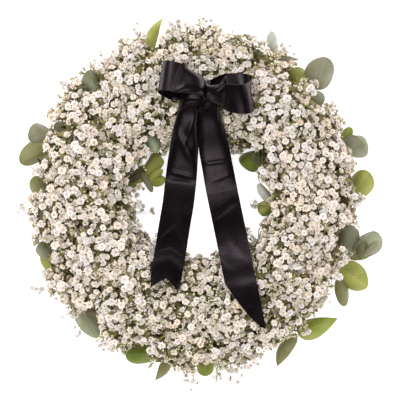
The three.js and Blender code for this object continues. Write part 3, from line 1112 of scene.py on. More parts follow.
@dataclass(frozen=True)
class Ribbon:
    """One length of the bow's ribbon. Each row of its route gives the middle and half of the
    width that shows, and each row of its sides which way its width lies."""

    name: str
    route: Rows
    sides: tuple[Spot, ...]
    hold: Hold = Hold.PLEATED
    cut: Cut = Cut.SQUARE
    cut_depth: float = 0.0
    creases: tuple[Crease, ...] = ()
    width: float = 0.038
    thickness: float = 0.0004
    pleats: float = 2.5
    rows: int = 150
    columns: int = 29

    def line(self) -> tuple[Array, Array]:
        """The middle of the ribbon and the width that shows, evenly spaced along its length.

        Returns:
            Its rows, and how far along the ribbon each is.
        """
        fine = through(np.array(self.route), np.linspace(0.0, 1.0, 600))
        passed = np.concatenate([[0.0], np.cumsum(np.linalg.norm(np.diff(fine[:, :3], axis=0), axis=1))])
        places = np.linspace(0.0, passed[-1], self.rows)
        even = np.stack([np.interp(places, passed, fine[:, k]) for k in range(4)], 1)
        return even, places

    def length(self) -> float:
        """How long the ribbon is."""
        return float(self.line()[1][-1])

    def area(self) -> float:
        """The flat area of the ribbon once it is cut."""
        lost = float(self.ends_at(np.linspace(-1.0, 1.0, 101)).mean())
        return self.width * (self.length() - lost)

    def ends_at(self, share: Array) -> Array:
        """How far before the tip the ribbon is cut, across its width from -1 to 1.

        Args:
            share: Places across the width.

        Returns:
            The distance at each.
        """
        if self.cut is Cut.NOTCHED:
            return self.cut_depth * (1.0 - np.abs(share))
        if self.cut is Cut.SLANTED:
            return self.cut_depth * ((1.0 - share) / 2) ** 1.5
        return 0.0 * share

    def surface(self, ring: Ring) -> tuple[Array, Array, Array]:
        """The ribbon's middle surface.

        Args:
            ring: What its places are measured from.

        Returns:
            Its points as rows and columns, the way off its face at each, and where each is
            along the ribbon from 0 to 1.
        """
        even, places = self.line()
        total = places[-1]
        share = np.linspace(-1.0, 1.0, self.columns)
        turns = np.interp(places / total, np.linspace(0, 1, len(self.sides)), np.arange(len(self.sides)))
        sides = unit(through(np.array(self.sides), turns / max(len(self.sides) - 1, 1)))
        back = self.ends_at(share)
        cut_at = places[:, None] - back * smoothstep(0.55, 1.0, places / total)[:, None]
        middle = np.stack([np.interp(cut_at, places, even[:, k]) for k in range(3)], -1)
        ahead = unit(np.gradient(even[:, :3], axis=0))
        across = unit(sides - (sides * ahead).sum(1, keepdims=True) * ahead)
        up = np.cross(ahead, across)
        shown = np.clip(2 * even[:, 3] / self.width, 0.2, 1.0)
        if self.hold is Hold.PLEATED:
            profile = np.sin(math.pi * self.pleats * (share + 1.0) + 0.6)
        else:
            profile = np.sign(share) * np.abs(share) ** 2.4
        angle = bend_for(shown, profile)[:, None] * profile
        step = self.width / (self.columns - 1)
        beside = self._run(np.cos(angle), step)
        above = self._run(np.sin(angle), step)
        if self.hold is Hold.CURLED:
            above = -above
        for crease in self.creases:
            above = above + crease.lift(cut_at, share * self.width / 2)
        points = middle + across[:, None] * beside[..., None] + up[:, None] * above[..., None]
        off = unit(np.cross(np.gradient(points, axis=0), np.gradient(points, axis=1)))
        return ring.place(points), off, cut_at / total

    @staticmethod
    def _run(slope: Array, step: float) -> Array:
        """The running sum of a slope across each row, with its ends level about 0.

        Args:
            slope: The slope at each column.
            step: How far apart the columns are.

        Returns:
            The height at each column.
        """
        mean = (slope[:, 1:] + slope[:, :-1]) / 2 * step
        run = np.concatenate([np.zeros((len(slope), 1)), np.cumsum(mean, axis=1)], axis=1)
        return run - (run[:, :1] + run[:, -1:]) / 2

    def build(self, ring: Ring, satin: Material) -> Piece:
        """Makes the ribbon with its two faces and its edges.

        Args:
            ring: What its places are measured from.
            satin: Its finish.

        Returns:
            The piece.
        """
        points, off, along = self.surface(ring)
        draft = MeshDraft()
        across = np.broadcast_to(np.linspace(0.0, 1.0, self.columns), along.shape)
        own = np.stack([across, along], -1).reshape(-1, 2)
        faces = grid_faces(self.rows, self.columns)
        half = self.thickness / 2
        for side, start in ((1.0, 0.01), (-1.0, 0.51)):
            places = own * (0.48, 0.98) + (start, 0.01)
            turned = faces if side > 0 else faces[:, ::-1]
            draft.add((points + side * half * off).reshape(-1, 3), turned, places, own=own)
        number = np.arange(self.rows * self.columns).reshape(self.rows, self.columns)
        rim = np.concatenate([number[:, 0], number[-1], number[::-1, -1], number[0, ::-1]])
        edge = points.reshape(-1, 3)[rim]
        edge_off = off.reshape(-1, 3)[rim]
        edge_own = own[rim]
        band = np.stack([edge + half * edge_off, edge - half * edge_off], 1).reshape(-1, 3)
        shift = np.array(((0.0, 0.0), (0.004, 0.0)))
        places = (edge_own * (0.48, 0.98) + (0.01, 0.01))[:, None] + shift
        draft.add(band, grid_faces(len(rim), 2), places.reshape(-1, 2), own=np.repeat(edge_own, 2, axis=0))
        return draft.piece(self.name, [satin])


LEFT_TAIL = Ribbon(
    name="tail_left",
    route=(
        (0.001, 0.13, 0.103, 0.0075), (-0.008, 0.12, 0.099, 0.0082), (-0.0105, 0.106, 0.092, 0.0102),
        (-0.0137, 0.086, 0.086, 0.0142), (-0.0152, 0.066, 0.0802, 0.0166), (-0.0174, 0.046, 0.0745, 0.018),
        (-0.0198, 0.022, 0.069, 0.019), (-0.0228, -0.004, 0.068, 0.019), (-0.0278, -0.034, 0.0695, 0.019),
        (-0.0328, -0.066, 0.078, 0.019), (-0.037, -0.09, 0.089, 0.0186), (-0.0398, -0.11, 0.0985, 0.0162),
    ),
    sides=((1.0, 0.05, 0.0), (1.0, 0.0, 0.06), (1.0, 0.0, 0.0), (1.0, -0.02, -0.05), (1.0, -0.1, -0.08)),
    hold=Hold.CURLED,
    cut=Cut.NOTCHED,
    cut_depth=0.0145,
    creases=(
        Crease((0.004, 0.01), (0.024, -0.016), 0.0022, 0.0024),
        Crease((0.046, -0.015), (0.092, 0.013), 0.001, 0.0045),
        Crease((0.052, -0.002), (0.086, 0.018), -0.0008, 0.006),
        Crease((0.105, -0.019), (0.111, 0.019), 0.001, 0.002),
        Crease((0.16, 0.013), (0.192, -0.014), 0.0008, 0.003),
        Crease((0.178, 0.002), (0.2, 0.016), -0.0007, 0.004),
        Crease((0.03, 0.01), (0.075, -0.002), 0.001, 0.003),
    ),
)
RIGHT_TAIL = Ribbon(
    name="tail_right",
    route=(
        (0.015, 0.13, 0.1025, 0.008), (0.0146, 0.119, 0.0985, 0.0112), (0.0139, 0.103, 0.0905, 0.013),
        (0.017, 0.083, 0.0845, 0.0162), (0.0203, 0.064, 0.0795, 0.0182), (0.0248, 0.04, 0.0735, 0.0186),
        (0.03, 0.012, 0.0672, 0.019), (0.0362, -0.018, 0.0655, 0.019), (0.0428, -0.05, 0.072, 0.019),
        (0.0482, -0.078, 0.085, 0.019), (0.0533, -0.102, 0.0985, 0.019), (0.059, -0.13, 0.1035, 0.019),
        (0.0648, -0.159, 0.106, 0.019),
    ),
    sides=((1.0, 0.15, 0.0), (1.0, 0.15, -0.04), (1.0, 0.2, 0.0), (1.0, 0.2, 0.11), (1.0, 0.2, 0.04)),
    hold=Hold.CURLED,
    cut=Cut.SLANTED,
    cut_depth=0.064,
    creases=(
        Crease((0.004, 0.004), (0.024, -0.017), 0.0024, 0.0022),
        Crease((0.088, -0.016), (0.09, 0.016), 0.0009, 0.0022),
        Crease((0.112, -0.01), (0.106, 0.018), 0.0006, 0.002),
        Crease((0.158, -0.018), (0.14, 0.017), 0.0012, 0.0035),
        Crease((0.196, 0.006), (0.214, 0.012), 0.0003, 0.006),
        Crease((0.206, -0.012), (0.222, 0.018), -0.0004, 0.007),
        Crease((0.172, -0.006), (0.198, 0.004), 0.0004, 0.005),
    ),
)


def looped(
    root: Spot, reach: Spot, depth: float, side: Spot, opens: float, swell: float, width: float = 0.038
) -> Rows:
    """A loop's route: out along its lower layer, round its end and back along its upper one.

    Args:
        root: Where both layers leave the knot.
        reach: The way from there to the loop's end.
        depth: How far apart the layers stand.
        side: Which way the ribbon's width lies.
        opens: The share of the way out at which the ribbon shows its whole width.
        swell: How full the loop is near its root, as a share of how full it is at its end.
        width: The ribbon's width.

    Returns:
        Rows for a ribbon's route.
    """
    broad = unit(np.array(side))
    over = unit(np.cross(unit(np.array(reach)), broad))
    over = over * np.sign(over[2])
    turns = np.linspace(-0.97, 0.97, 21) * math.pi
    share = (1 + np.cos(turns)) / 2
    lift = 0.65 * depth * np.sin(turns) * (swell + (1.0 - swell) * share)
    middle = np.array(root) + share[:, None] * np.array(reach) + lift[:, None] * over
    shown = width / 2 * (0.36 + 0.64 * np.clip(share / opens, 0.0, 1.0) ** 0.8)
    return tuple(map(tuple, np.column_stack([middle, shown]).tolist()))


def wrapped(centre: Spot, half_deep: float, half_high: float, shown: float) -> Rows:
    """The knot's route: once round the roots of the loops, its seam underneath.

    Args:
        centre: The knot's middle.
        half_deep: Half its depth, along Y.
        half_high: Half its height.
        shown: Half the width that shows.

    Returns:
        Rows for a ribbon's route.
    """
    turns = np.linspace(-0.5, 1.5, 17) * math.pi
    swell = 1.0 + 0.06 * np.sin(3 * turns)
    rows = np.column_stack([
        centre[0] + 0.0006 * np.sin(2 * turns),
        centre[1] + half_deep * swell * np.cos(turns),
        centre[2] + half_high * swell * np.sin(turns),
        shown * (1.0 + 0.08 * np.cos(2 * turns)),
    ])
    return tuple(map(tuple, rows.tolist()))


LEFT_LOOP = Ribbon(
    name="bow_loop_left",
    route=looped((0.003, 0.133, 0.110), (-0.047, 0.016, 0.005), 0.025, (0.16, 0.94, -0.28), 0.55, 0.9),
    sides=((0.16, 0.94, -0.28),) * 3 + ((0.16, 0.94, -0.38), (0.10, 0.94, -0.62)),
    hold=Hold.CURLED,
    rows=110,
)
RIGHT_LOOP = Ribbon(
    name="bow_loop_right",
    route=looped((0.0155, 0.132, 0.110), (0.0505, -0.006, 0.003), 0.028, (0.1, -0.88, -0.45), 0.38, 0.5),
    sides=tuple((0.1, -0.88, rise) for rise in (0.38, 0.32, -0.20, -0.48, -0.85)),
    hold=Hold.CURLED,
    rows=110,
)
KNOT = Ribbon(
    name="bow_knot_wrap",
    route=wrapped((0.009, 0.133, 0.1085), 0.0080, 0.0090, 0.0062),
    sides=((1.0, 0.0, 0.0), (1.0, 0.0, 0.0)),
    pleats=3.5,
    rows=64,
    columns=61,
)


@dataclass(frozen=True)
class SatinBow:
    """The bow: two tails, two loops and the knot's wrap, all of one ribbon."""

    ring: Ring
    satin: Material
    ribbons: tuple[tuple[Ribbon, str, str], ...] = (
        (LEFT_TAIL, "left_tail", "draped"),
        (RIGHT_TAIL, "right_tail", "draped"),
        (LEFT_LOOP, "bow_left_loop", "folded"),
        (RIGHT_LOOP, "bow_right_loop", "folded"),
        (KNOT, "bow_knot", "gathered"),
    )

    def places(self) -> Array:
        """Points all over the ribbons, to keep the flowers clear of them."""
        return np.vstack([ribbon.surface(self.ring)[0].reshape(-1, 3) for ribbon, _, _ in self.ribbons])

    def build(self, beneath: Piece) -> list[Piece]:
        """Makes the bow's pieces.

        Args:
            beneath: The bunch that the bow is pinned on. Not used.

        Returns:
            The pieces.
        """
        made = []
        for ribbon, node, held in self.ribbons:
            piece = standing_for(ribbon.build(self.ring, self.satin), node)
            flat = (ribbon.width, ribbon.length())
            ribbon.area()
            made.append(piece)
        return made


# ---- The flowers' bunches ----


class Ceiling:
    """The lowest height of the ribbons over each place, which the flowers stay below."""

    def __init__(self, points: Array, reach: float, cell: float = 0.002) -> None:
        """Maps the ribbons.

        Args:
            points: Points all over the ribbons.
            reach: How far beside them the flowers still keep clear.
            cell: The map's fineness.
        """
        self._cell = cell
        self._low = points[:, :2].min(0) - 2 * reach
        size = np.ceil((points[:, :2].max(0) + 2 * reach - self._low) / cell).astype(int) + 1
        heights = np.full(size, np.inf)
        x, y = self._cells(points).T
        np.minimum.at(heights, (x, y), points[:, 2])
        wide = heights.copy()
        steps = int(reach / cell)
        for dx in range(-steps, steps + 1):
            for dy in range(-steps, steps + 1):
                if dx * dx + dy * dy <= steps * steps:
                    wide = np.minimum(wide, np.roll(heights, (dx, dy), (0, 1)))
        self._heights = wide

    def _cells(self, points: Array) -> Array:
        """The map's cell for each point."""
        return np.floor((points[:, :2] - self._low) / self._cell).astype(int)

    def over(self, points: Array) -> Array:
        """The ribbons' lowest height over each point, or infinity where there is none.

        Args:
            points: The points.

        Returns:
            One height for each.
        """
        cells = self._cells(points)
        inside = ((cells >= 0) & (cells < self._heights.shape)).all(1)
        x, y = np.where(inside[:, None], cells, 0).T
        return np.where(inside, self._heights[x, y], np.inf)


def nearest(tree_of: Array, points: Array) -> tuple[Array, Array]:
    """For each point, the nearest of some others.

    Args:
        tree_of: The others.
        points: The points.

    Returns:
        The number of the nearest one and its distance, for each point.
    """
    tree = kdtree.KDTree(len(tree_of))
    for i, place in enumerate(tree_of):
        tree.insert(place, i)
    tree.balance()
    found = [tree.find(point)[1:] for point in points]
    return np.array([i for i, _ in found]), np.array([apart for _, apart in found])


@dataclass(frozen=True)
class Spots:
    """Places spread over the outside of the flowers: each one's angles round the ring and round
    the section, its point and the way off it; and the numbers of the clusters' centres."""

    angle: Array
    around: Array
    place: Array
    off: Array
    centres: Array

    def clusters(self, chosen: Array) -> tuple[Array, Array]:
        """The cluster that each chosen place belongs to, and its distance from the centre."""
        return nearest(self.place[self.centres], self.place[chosen])


@dataclass(frozen=True)
class BabysBreath:
    """All the baby's breath: flowers in tight clusters over the outside of the flower mass, with
    buds between them, flowers behind that are darker by painted shade, and hair-thin stems back
    to each bunch's neck."""

    mass: FlowerMass
    finish: Material
    seed: int = 11
    candidates: int = 70000
    flower_spacing: float = 0.60
    mean_size: float = 0.0115
    size_limits: tuple[float, float] = (0.0065, 0.0140)
    most_clusters: int = 4000
    cluster_spacing: float = 0.0195
    dome_drop: float = 0.0065
    dome_radius: float = 0.0105
    buds: int = 4600
    deep_flowers: int = 3000
    deep_spacing: float = 0.0078
    foliage: int = 13000
    sprays: int = 85
    node_depth: float = 0.017
    lumps: float = 0.0022
    deepest_sink: float = 0.022
    main_stems: int = 5

    def build(self, ceiling: Ceiling, leaves: Array) -> dict[str, Piece]:
        """Makes every bunch.

        Args:
            ceiling: What the flowers stay below.
            leaves: Points all over the leaves that show, which the flowers keep clear of in plan.

        Returns:
            Each bunch's piece, by its node's name.
        """
        random = np.random.default_rng(self.seed)
        spots = self._scattered(random, self.candidates)
        groups = {
            "open": self._open(random, spots),
            "deep": self._deep(random, spots),
            "leaves": self._foliage(random, spots),
            "buds": self._buds(random, spots),
            "strays": self._strays(random, spots),
        }
        drafts: dict[str, MeshDraft] = {}
        patterns = self._patterns(random)
        nodes = spots.place[spots.centres] - self.node_depth * spots.off[spots.centres]
        homes = [self._home(spots.angle[i], spots.around[i]) for i in spots.centres]
        kinds = {"open": patterns["flowers"], "deep": patterns["deep"], "buds": patterns["buds"]}
        kinds |= {"strays": patterns["flowers"], "leaves": patterns["leaves"]}
        for kind, (flowers, cluster) in groups.items():
            flowers, cluster = self._cleared(flowers, cluster, ceiling, leaves)
            for home in sorted(set(homes)):
                mine = np.array([homes[c] == home for c in cluster])
                if not mine.any():
                    continue
                draft = drafts.setdefault(home, MeshDraft())
                flowers.picked(mine).add_to(draft, kinds[kind])
                if kind != "leaves":
                    self._pedicels(draft, flowers.picked(mine), nodes[cluster[mine]], kind, random)
        for home, draft in drafts.items():
            mine = np.array([i for i, h in enumerate(homes) if h == home])
            self._branches(draft, home, nodes[mine], random)
        return {home: self._piece(home, draft) for home, draft in sorted(drafts.items())}

    def _scattered(self, random: Random, count: int) -> Spots:
        """Spreads places evenly over the outside, and picks the clusters' centres.

        Args:
            random: Where the places come from.
            count: How many places there are.

        Returns:
            The places.
        """
        angle = random.uniform(0.0, 360.0, 3 * count)
        around = random.uniform(Row.OUTER.value.starts, Row.INNER.value.ends, 3 * count)
        turn = np.radians(around)
        wide = self.mass.half_width(angle)
        climb = np.where(np.sin(turn) > 0, self.mass.rise, self.mass.drop)
        radius = self.mass.radius + wide * np.cos(turn)
        weight = np.hypot(wide * np.sin(turn), climb * np.cos(turn)) * radius
        kept = np.nonzero(random.uniform(0.0, weight.max(), 3 * count) < weight)[0][:count]
        place, off = self.mass.edge(angle[kept], around[kept])
        place = place + self.lumps * ripples(place, 0.060, 8)[:, None] * off
        centres = thinned(place, np.full(len(place), self.cluster_spacing))
        return Spots(angle[kept], around[kept], place, off, centres)

    def _home(self, angle: float, around: float) -> str:
        """The node of the bunch that fills a place."""
        row = Row.over(float(around))
        return f"{row.value.name}_{row.bunch_of(float(angle)) + 1:02d}"

    def _sizes(self, random: Random, spots: Spots) -> Array:
        """The flowers' diameters: largest at the left, smallest at the head and foot.

        Args:
            random: Where their unevenness comes from.
            spots: The places that they stand at.

        Returns:
            One diameter for each place.
        """
        turn, around = np.radians(spots.angle), spots.around
        mean = self.mean_size - 0.00085 * np.cos(turn) - 0.0011 * np.sin(turn) ** 2
        low = (around < 0) | (around > 180)
        sizes = mean * np.where(low, 0.9, 1.0) * random.normal(1.0, 0.12, len(turn))
        return np.clip(sizes, *self.size_limits)

    def _tones_and_painted_shade(self, random: Random, place: Array, cluster: Array) -> Array:
        """The flowers' tones: alike within a cluster, with painted light that makes them whiter higher up.

        Args:
            random: Where their unevenness comes from.
            place: Where the flowers are.
            cluster: Their clusters.

        Returns:
            One tone for each flower.
        """
        shared = random.normal(0.0, 0.09, self.most_clusters)[cluster]
        # Painted light: flowers higher on the mass are made whiter, those lower down darker.
        rise = smoothstep(0.015, 0.09, place[:, 2])
        return np.clip(0.42 + 0.34 * rise + shared + random.normal(0.0, 0.09, len(place)), 0.05, 0.97)

    def _open(self, random: Random, spots: Spots) -> tuple[Flowers, Array]:
        """The open flowers that domes of clusters are packed with.

        Args:
            random: Where their unevenness comes from.
            spots: The places that they can stand at.

        Returns:
            The flowers, and each one's cluster.
        """
        place, off, centres = spots.place, spots.off, spots.centres
        sizes = self._sizes(random, spots)
        kept = thinned(place, self.flower_spacing * sizes)
        cluster, apart = spots.clusters(kept)
        valley = smoothstep(0.0075, 0.0115, apart)
        gaps = smoothstep(1.05, 1.5, ripples(place[kept], 0.045, 5))
        stays = random.uniform(size=len(kept)) > 0.08 + 0.20 * valley + 0.5 * gaps
        kept, cluster, apart = kept[stays], cluster[stays], apart[stays]
        heights = random.uniform(-0.005, 0.0045, len(centres))[cluster]
        heights = heights + random.normal(0.0, 0.0012, len(kept))
        heights -= self.dome_drop * np.clip((apart / self.dome_radius) ** 2, 0.0, 1.4)
        from_centre = (place[kept] - place[centres[cluster]]) / 0.010
        faces = unit(off[kept] + 0.8 * from_centre + 0.33 * random.normal(size=(len(kept), 3)))
        places = place[kept] + heights[:, None] * off[kept]
        spins = random.uniform(0.0, 2 * math.pi, len(kept))
        # Painted shade: flowers sunk below their cluster's dome are made darker.
        tones = self._tones_and_painted_shade(random, places, cluster) - 0.12 * np.clip(-heights / 0.008, 0.0, 1.0)
        return Flowers(places, faces, sizes[kept], spins, np.clip(tones, 0.03, 0.97)), cluster

    def _deep(self, random: Random, spots: Spots) -> tuple[Flowers, Array]:
        """Flowers behind the first ones, seen between the clusters, made darker by painted shade.

        Args:
            random: Where their unevenness comes from.
            spots: The places that they can stand at.

        Returns:
            The flowers, and each one's cluster.
        """
        place, off = spots.place, spots.off
        last_first = thinned(place[::-1], np.full(len(place), self.deep_spacing))
        kept = len(place) - 1 - last_first[: self.deep_flowers * 3]
        kept = kept[random.permutation(len(kept))][: self.deep_flowers]
        cluster, _ = spots.clusters(kept)
        depths = np.where(random.uniform(size=len(kept)) < 0.6, 0.009, 0.017)
        places = place[kept] - (depths + random.uniform(-0.002, 0.003, len(kept)))[:, None] * off[kept]
        faces = unit(off[kept] + 0.4 * random.normal(size=(len(kept), 3)))
        sizes = random.uniform(0.0085, 0.0110, len(kept))
        # Painted shade: the deeper a flower stands, the darker its tone.
        tones = np.clip(0.56 - 12.0 * (depths - 0.009) + random.normal(0.0, 0.10, len(kept)), 0.05, 0.7)
        return Flowers(places, faces, sizes, random.uniform(0.0, ANY_TURN, len(kept)), tones), cluster

    def _foliage(self, random: Random, spots: Spots) -> tuple[Flowers, Array]:
        """Narrow dark leaves that fill the depths of the bunches.

        Args:
            random: Where their unevenness comes from.
            spots: The places that they can stand at.

        Returns:
            The leaves, and each one's cluster.
        """
        place, off = spots.place, spots.off
        picked = random.permutation(len(place))[: self.foliage]
        cluster, _ = spots.clusters(picked)
        deep = random.uniform(size=(len(picked), 1)) < 0.45
        far, close = (random.uniform(*span, deep.shape) for span in ((0.024, 0.040), (0.009, 0.022)))
        depths = np.where(deep, far, close)
        places = place[picked] - depths * off[picked]
        faces = unit(off[picked] + 0.55 * random.normal(size=(len(picked), 3)))
        sizes = random.uniform(0.017, 0.026, len(picked))
        tones = np.clip(random.normal(0.34, 0.18, len(picked)), 0.03, 0.85)
        return Flowers(places, faces, sizes, random.uniform(0.0, ANY_TURN, len(picked)), tones), cluster

    def _buds(self, random: Random, spots: Spots) -> tuple[Flowers, Array]:
        """Green buds between the flowers, more of them at the head and foot of the wreath.

        Args:
            random: Where their unevenness comes from.
            spots: The places that they can stand at.

        Returns:
            The buds, and each one's cluster.
        """
        place, off = spots.place, spots.off
        wanted = 0.35 + 0.65 * np.sin(np.radians(spots.angle)) ** 2
        picked = np.nonzero(random.uniform(size=len(place)) < wanted)[0]
        picked = picked[random.permutation(len(picked))][: self.buds]
        cluster, apart = spots.clusters(picked)
        heights = random.uniform(-0.005, 0.0035, len(picked))
        heights -= 0.6 * self.dome_drop * np.clip((apart / self.dome_radius) ** 2, 0.0, 1.3)
        places = place[picked] + heights[:, None] * off[picked]
        faces = unit(off[picked] + 0.45 * random.normal(size=(len(picked), 3)))
        sizes = random.uniform(0.0023, 0.0042, len(picked))
        tones = np.clip(random.normal(0.70, 0.2, len(picked)), 0.15, 0.95)
        return Flowers(places, faces, sizes, random.uniform(0.0, ANY_TURN, len(picked)), tones), cluster

    def _strays(self, random: Random, spots: Spots) -> tuple[Flowers, Array]:
        """Small groups of flowers on longer stems, that stand clear of the rest.

        Args:
            random: Where their unevenness comes from.
            spots: The places that they can stand at.

        Returns:
            The flowers, and each one's cluster.
        """
        around, place, off = spots.around, spots.place, spots.off
        wanted = np.where((around > -25) & (around < 45) | (around > 140) & (around < 200), 1.0, 0.2)
        picked = np.nonzero(random.uniform(size=len(place)) < wanted)[0]
        picked = picked[random.permutation(len(picked))][: self.sprays]
        each = np.repeat(np.arange(len(picked)), random.integers(3, 7, len(picked)))
        heads = picked[each]
        cluster, _ = spots.clusters(picked)
        lean = 0.3 * random.normal(size=(len(picked), 3))[each]
        reach = random.uniform(0.003, 0.0120, (len(picked), 1))[each]
        scatter = 0.0038 * random.normal(size=(len(heads), 3))
        places = place[heads] + reach * unit(off[heads] + lean) + scatter
        loose = 0.3 * random.normal(size=(len(heads), 3))
        faces = unit(0.5 * off[heads] + 0.7 * UP + 90.0 * scatter + loose)
        sizes = random.uniform(0.0068, 0.0098, len(heads))
        tones = np.clip(random.normal(0.85, 0.10, len(heads)), 0.4, 0.97)
        spins = random.uniform(0.0, 2 * math.pi, len(heads))
        return Flowers(places, faces, sizes, spins, tones), cluster[each]

    def _cleared(
        self, flowers: Flowers, cluster: Array, ceiling: Ceiling, leaves: Array
    ) -> tuple[Flowers, Array]:
        """Sinks the flowers that would meet a ribbon, and leaves out those that would meet a leaf,
        sink too far or touch what the wreath lies on.

        Args:
            flowers: The flowers.
            cluster: Their clusters.
            ceiling: What they stay below.
            leaves: Points all over the leaves that show.

        Returns:
            The flowers that stay, and their clusters.
        """
        room = ceiling.over(flowers.places) - 0.0012 - 0.42 * flowers.sizes
        sink = np.maximum(flowers.places[:, 2] - room, 0.0)
        flowers.places[:, 2] -= sink
        plan = np.array((1.0, 1.0, 0.0))
        _, beside = nearest(leaves * plan, flowers.places * plan)
        low = flowers.places[:, 2] < 0.5 * flowers.sizes + 0.001
        kept = (sink < self.deepest_sink) & (beside > 0.0009 + 0.12 * flowers.sizes) & ~low
        return flowers.picked(kept), cluster[kept]

    def _patterns(self, random: Random) -> dict[str, list[Pattern]]:
        """The patterns for each kind of flower.

        Args:
            random: Where their unevenness comes from.

        Returns:
            Each kind's patterns, by its name.
        """
        blooms = (Bloom.FULL, Bloom.PLAIN, Bloom.FULL, Bloom.PLAIN, Bloom.FULL, Bloom.HALF, Bloom.PLAIN)
        return {
            "flowers": [flower_pattern(bloom, random) for bloom in blooms],
            "deep": [flower_pattern(Bloom.FAINT, random)],
            "buds": [bud_pattern(4)],
            "leaves": [leaf_pattern()],
        }

    def _pedicels(
        self, draft: MeshDraft, flowers: Flowers, nodes: Array, kind: str, random: Random
    ) -> None:
        """Models the hair-thin stem of each flower, from its cluster's node.

        Args:
            draft: The bunch's draft.
            flowers: The flowers.
            nodes: Each one's node.
            kind: Which group they are.
            random: Where their unevenness comes from.
        """
        backs = flowers.places - 0.33 * flowers.sizes[:, None] * flowers.facings
        leaves = backs - 0.007 * flowers.facings + 0.0012 * random.normal(size=backs.shape)
        radius = {"buds": 0.00020, "strays": 0.00034}.get(kind, 0.00027)
        steps = 5 if kind == "strays" else 3
        draft.add(*stems_mesh(backs, leaves, nodes, radius, steps, 0.75 if kind == "strays" else 0.5))

    def _branches(self, draft: MeshDraft, home: str, nodes: Array, random: Random) -> None:
        """Models a bunch's main stems in the foam, and a branch to each cluster's node.

        Args:
            draft: The bunch's draft.
            home: The bunch's node.
            nodes: The clusters' nodes.
            random: Where their unevenness comes from.
        """
        row = next(row for row in Row if home.startswith(row.value.name)).value
        angle = row.turn + (int(home[-2:]) - 1) * 360.0 / row.count
        foot = self.mass.ring.at(np.array(angle), np.array(row.foot[0]), row.foot[1])
        neck = self.mass.ring.at(np.array(angle), np.array(row.neck[0]), row.neck[1])
        lean = np.array((1.0, 0.0, 0.0)) if row is Row.TOP.value else UP
        aside = 0.0011 * unit(np.cross(neck - foot, lean))
        above = 0.0011 * unit(np.cross(neck - foot, aside))
        for k in range(self.main_stems):
            turn = 2 * math.pi * k / self.main_stems
            shift = aside * math.cos(turn) + above * math.sin(turn)
            line = arc(foot + 0.4 * shift, (foot + neck) / 2 + shift, neck + shift, 6)
            points, faces = tube_mesh(line, np.full(6, 0.0008), 5)
            draft.add(points, faces, np.tile((STEM_AT + 0.05, 0.45), (len(points), 1)))
        for node in nodes:
            reach = float(np.linalg.norm(node - neck))
            leave = neck + 0.55 * reach * unit(neck - foot) + 0.1 * reach * random.normal(size=3)
            line = arc(neck, leave, node, 8)
            points, faces = tube_mesh(line, np.linspace(0.0007, 0.0004, 8), 4)
            draft.add(points, faces, np.tile((STEM_AT + 0.04, 0.45), (len(points), 1)))

    def _piece(self, home: str, draft: MeshDraft) -> Piece:
        """Makes a bunch's piece."""
        return standing_for(draft.piece(f"breath_{home}", [self.finish]), home)


# ---- Eucalyptus ----


class Tone(Enum):
    """A leaf's colour: its main green, the one that clouds it, its rib and its margin."""

    GREY = ("leaf_grey", (0.185, 0.182, 0.112), (0.23, 0.225, 0.15), (0.32, 0.32, 0.2), (0.24, 0.16, 0.1))
    SAGE = ("leaf_sage", (0.225, 0.245, 0.15), (0.285, 0.3, 0.2), (0.4, 0.42, 0.28), (0.28, 0.22, 0.15))
    OLIVE = (
        "leaf_olive", (0.17, 0.168, 0.062), (0.21, 0.205, 0.085),
        (0.27, 0.27, 0.13), (0.2, 0.14, 0.07),
    )
    SLATE = (
        "leaf_slate", (0.175, 0.175, 0.105), (0.215, 0.215, 0.14),
        (0.24, 0.25, 0.17), (0.16, 0.11, 0.08),
    )
    PALE = ("leaf_pale", (0.4, 0.42, 0.36), (0.5, 0.51, 0.45), (0.55, 0.54, 0.44), (0.4, 0.33, 0.26))
    FRESH = ("leaf_fresh", (0.33, 0.325, 0.075), (0.25, 0.27, 0.06), (0.46, 0.44, 0.16), (0.34, 0.24, 0.09))
    LUSH = ("leaf_lush", (0.2, 0.245, 0.028), (0.26, 0.29, 0.06), (0.42, 0.44, 0.14), (0.28, 0.24, 0.08))
    DEEP = ("leaf_deep", (0.12, 0.175, 0.018), (0.17, 0.21, 0.03), (0.27, 0.29, 0.06), (0.16, 0.13, 0.03))
    DARK = ("leaf_dark", (0.085, 0.095, 0.035), (0.12, 0.115, 0.05), (0.17, 0.16, 0.07), (0.11, 0.07, 0.04))


class Side(Enum):
    """Which side of the foam a sprig stands in: its radius there, and the way into the foam."""

    OUTER = (0.150, -1.0)
    INNER = (0.100, 1.0)


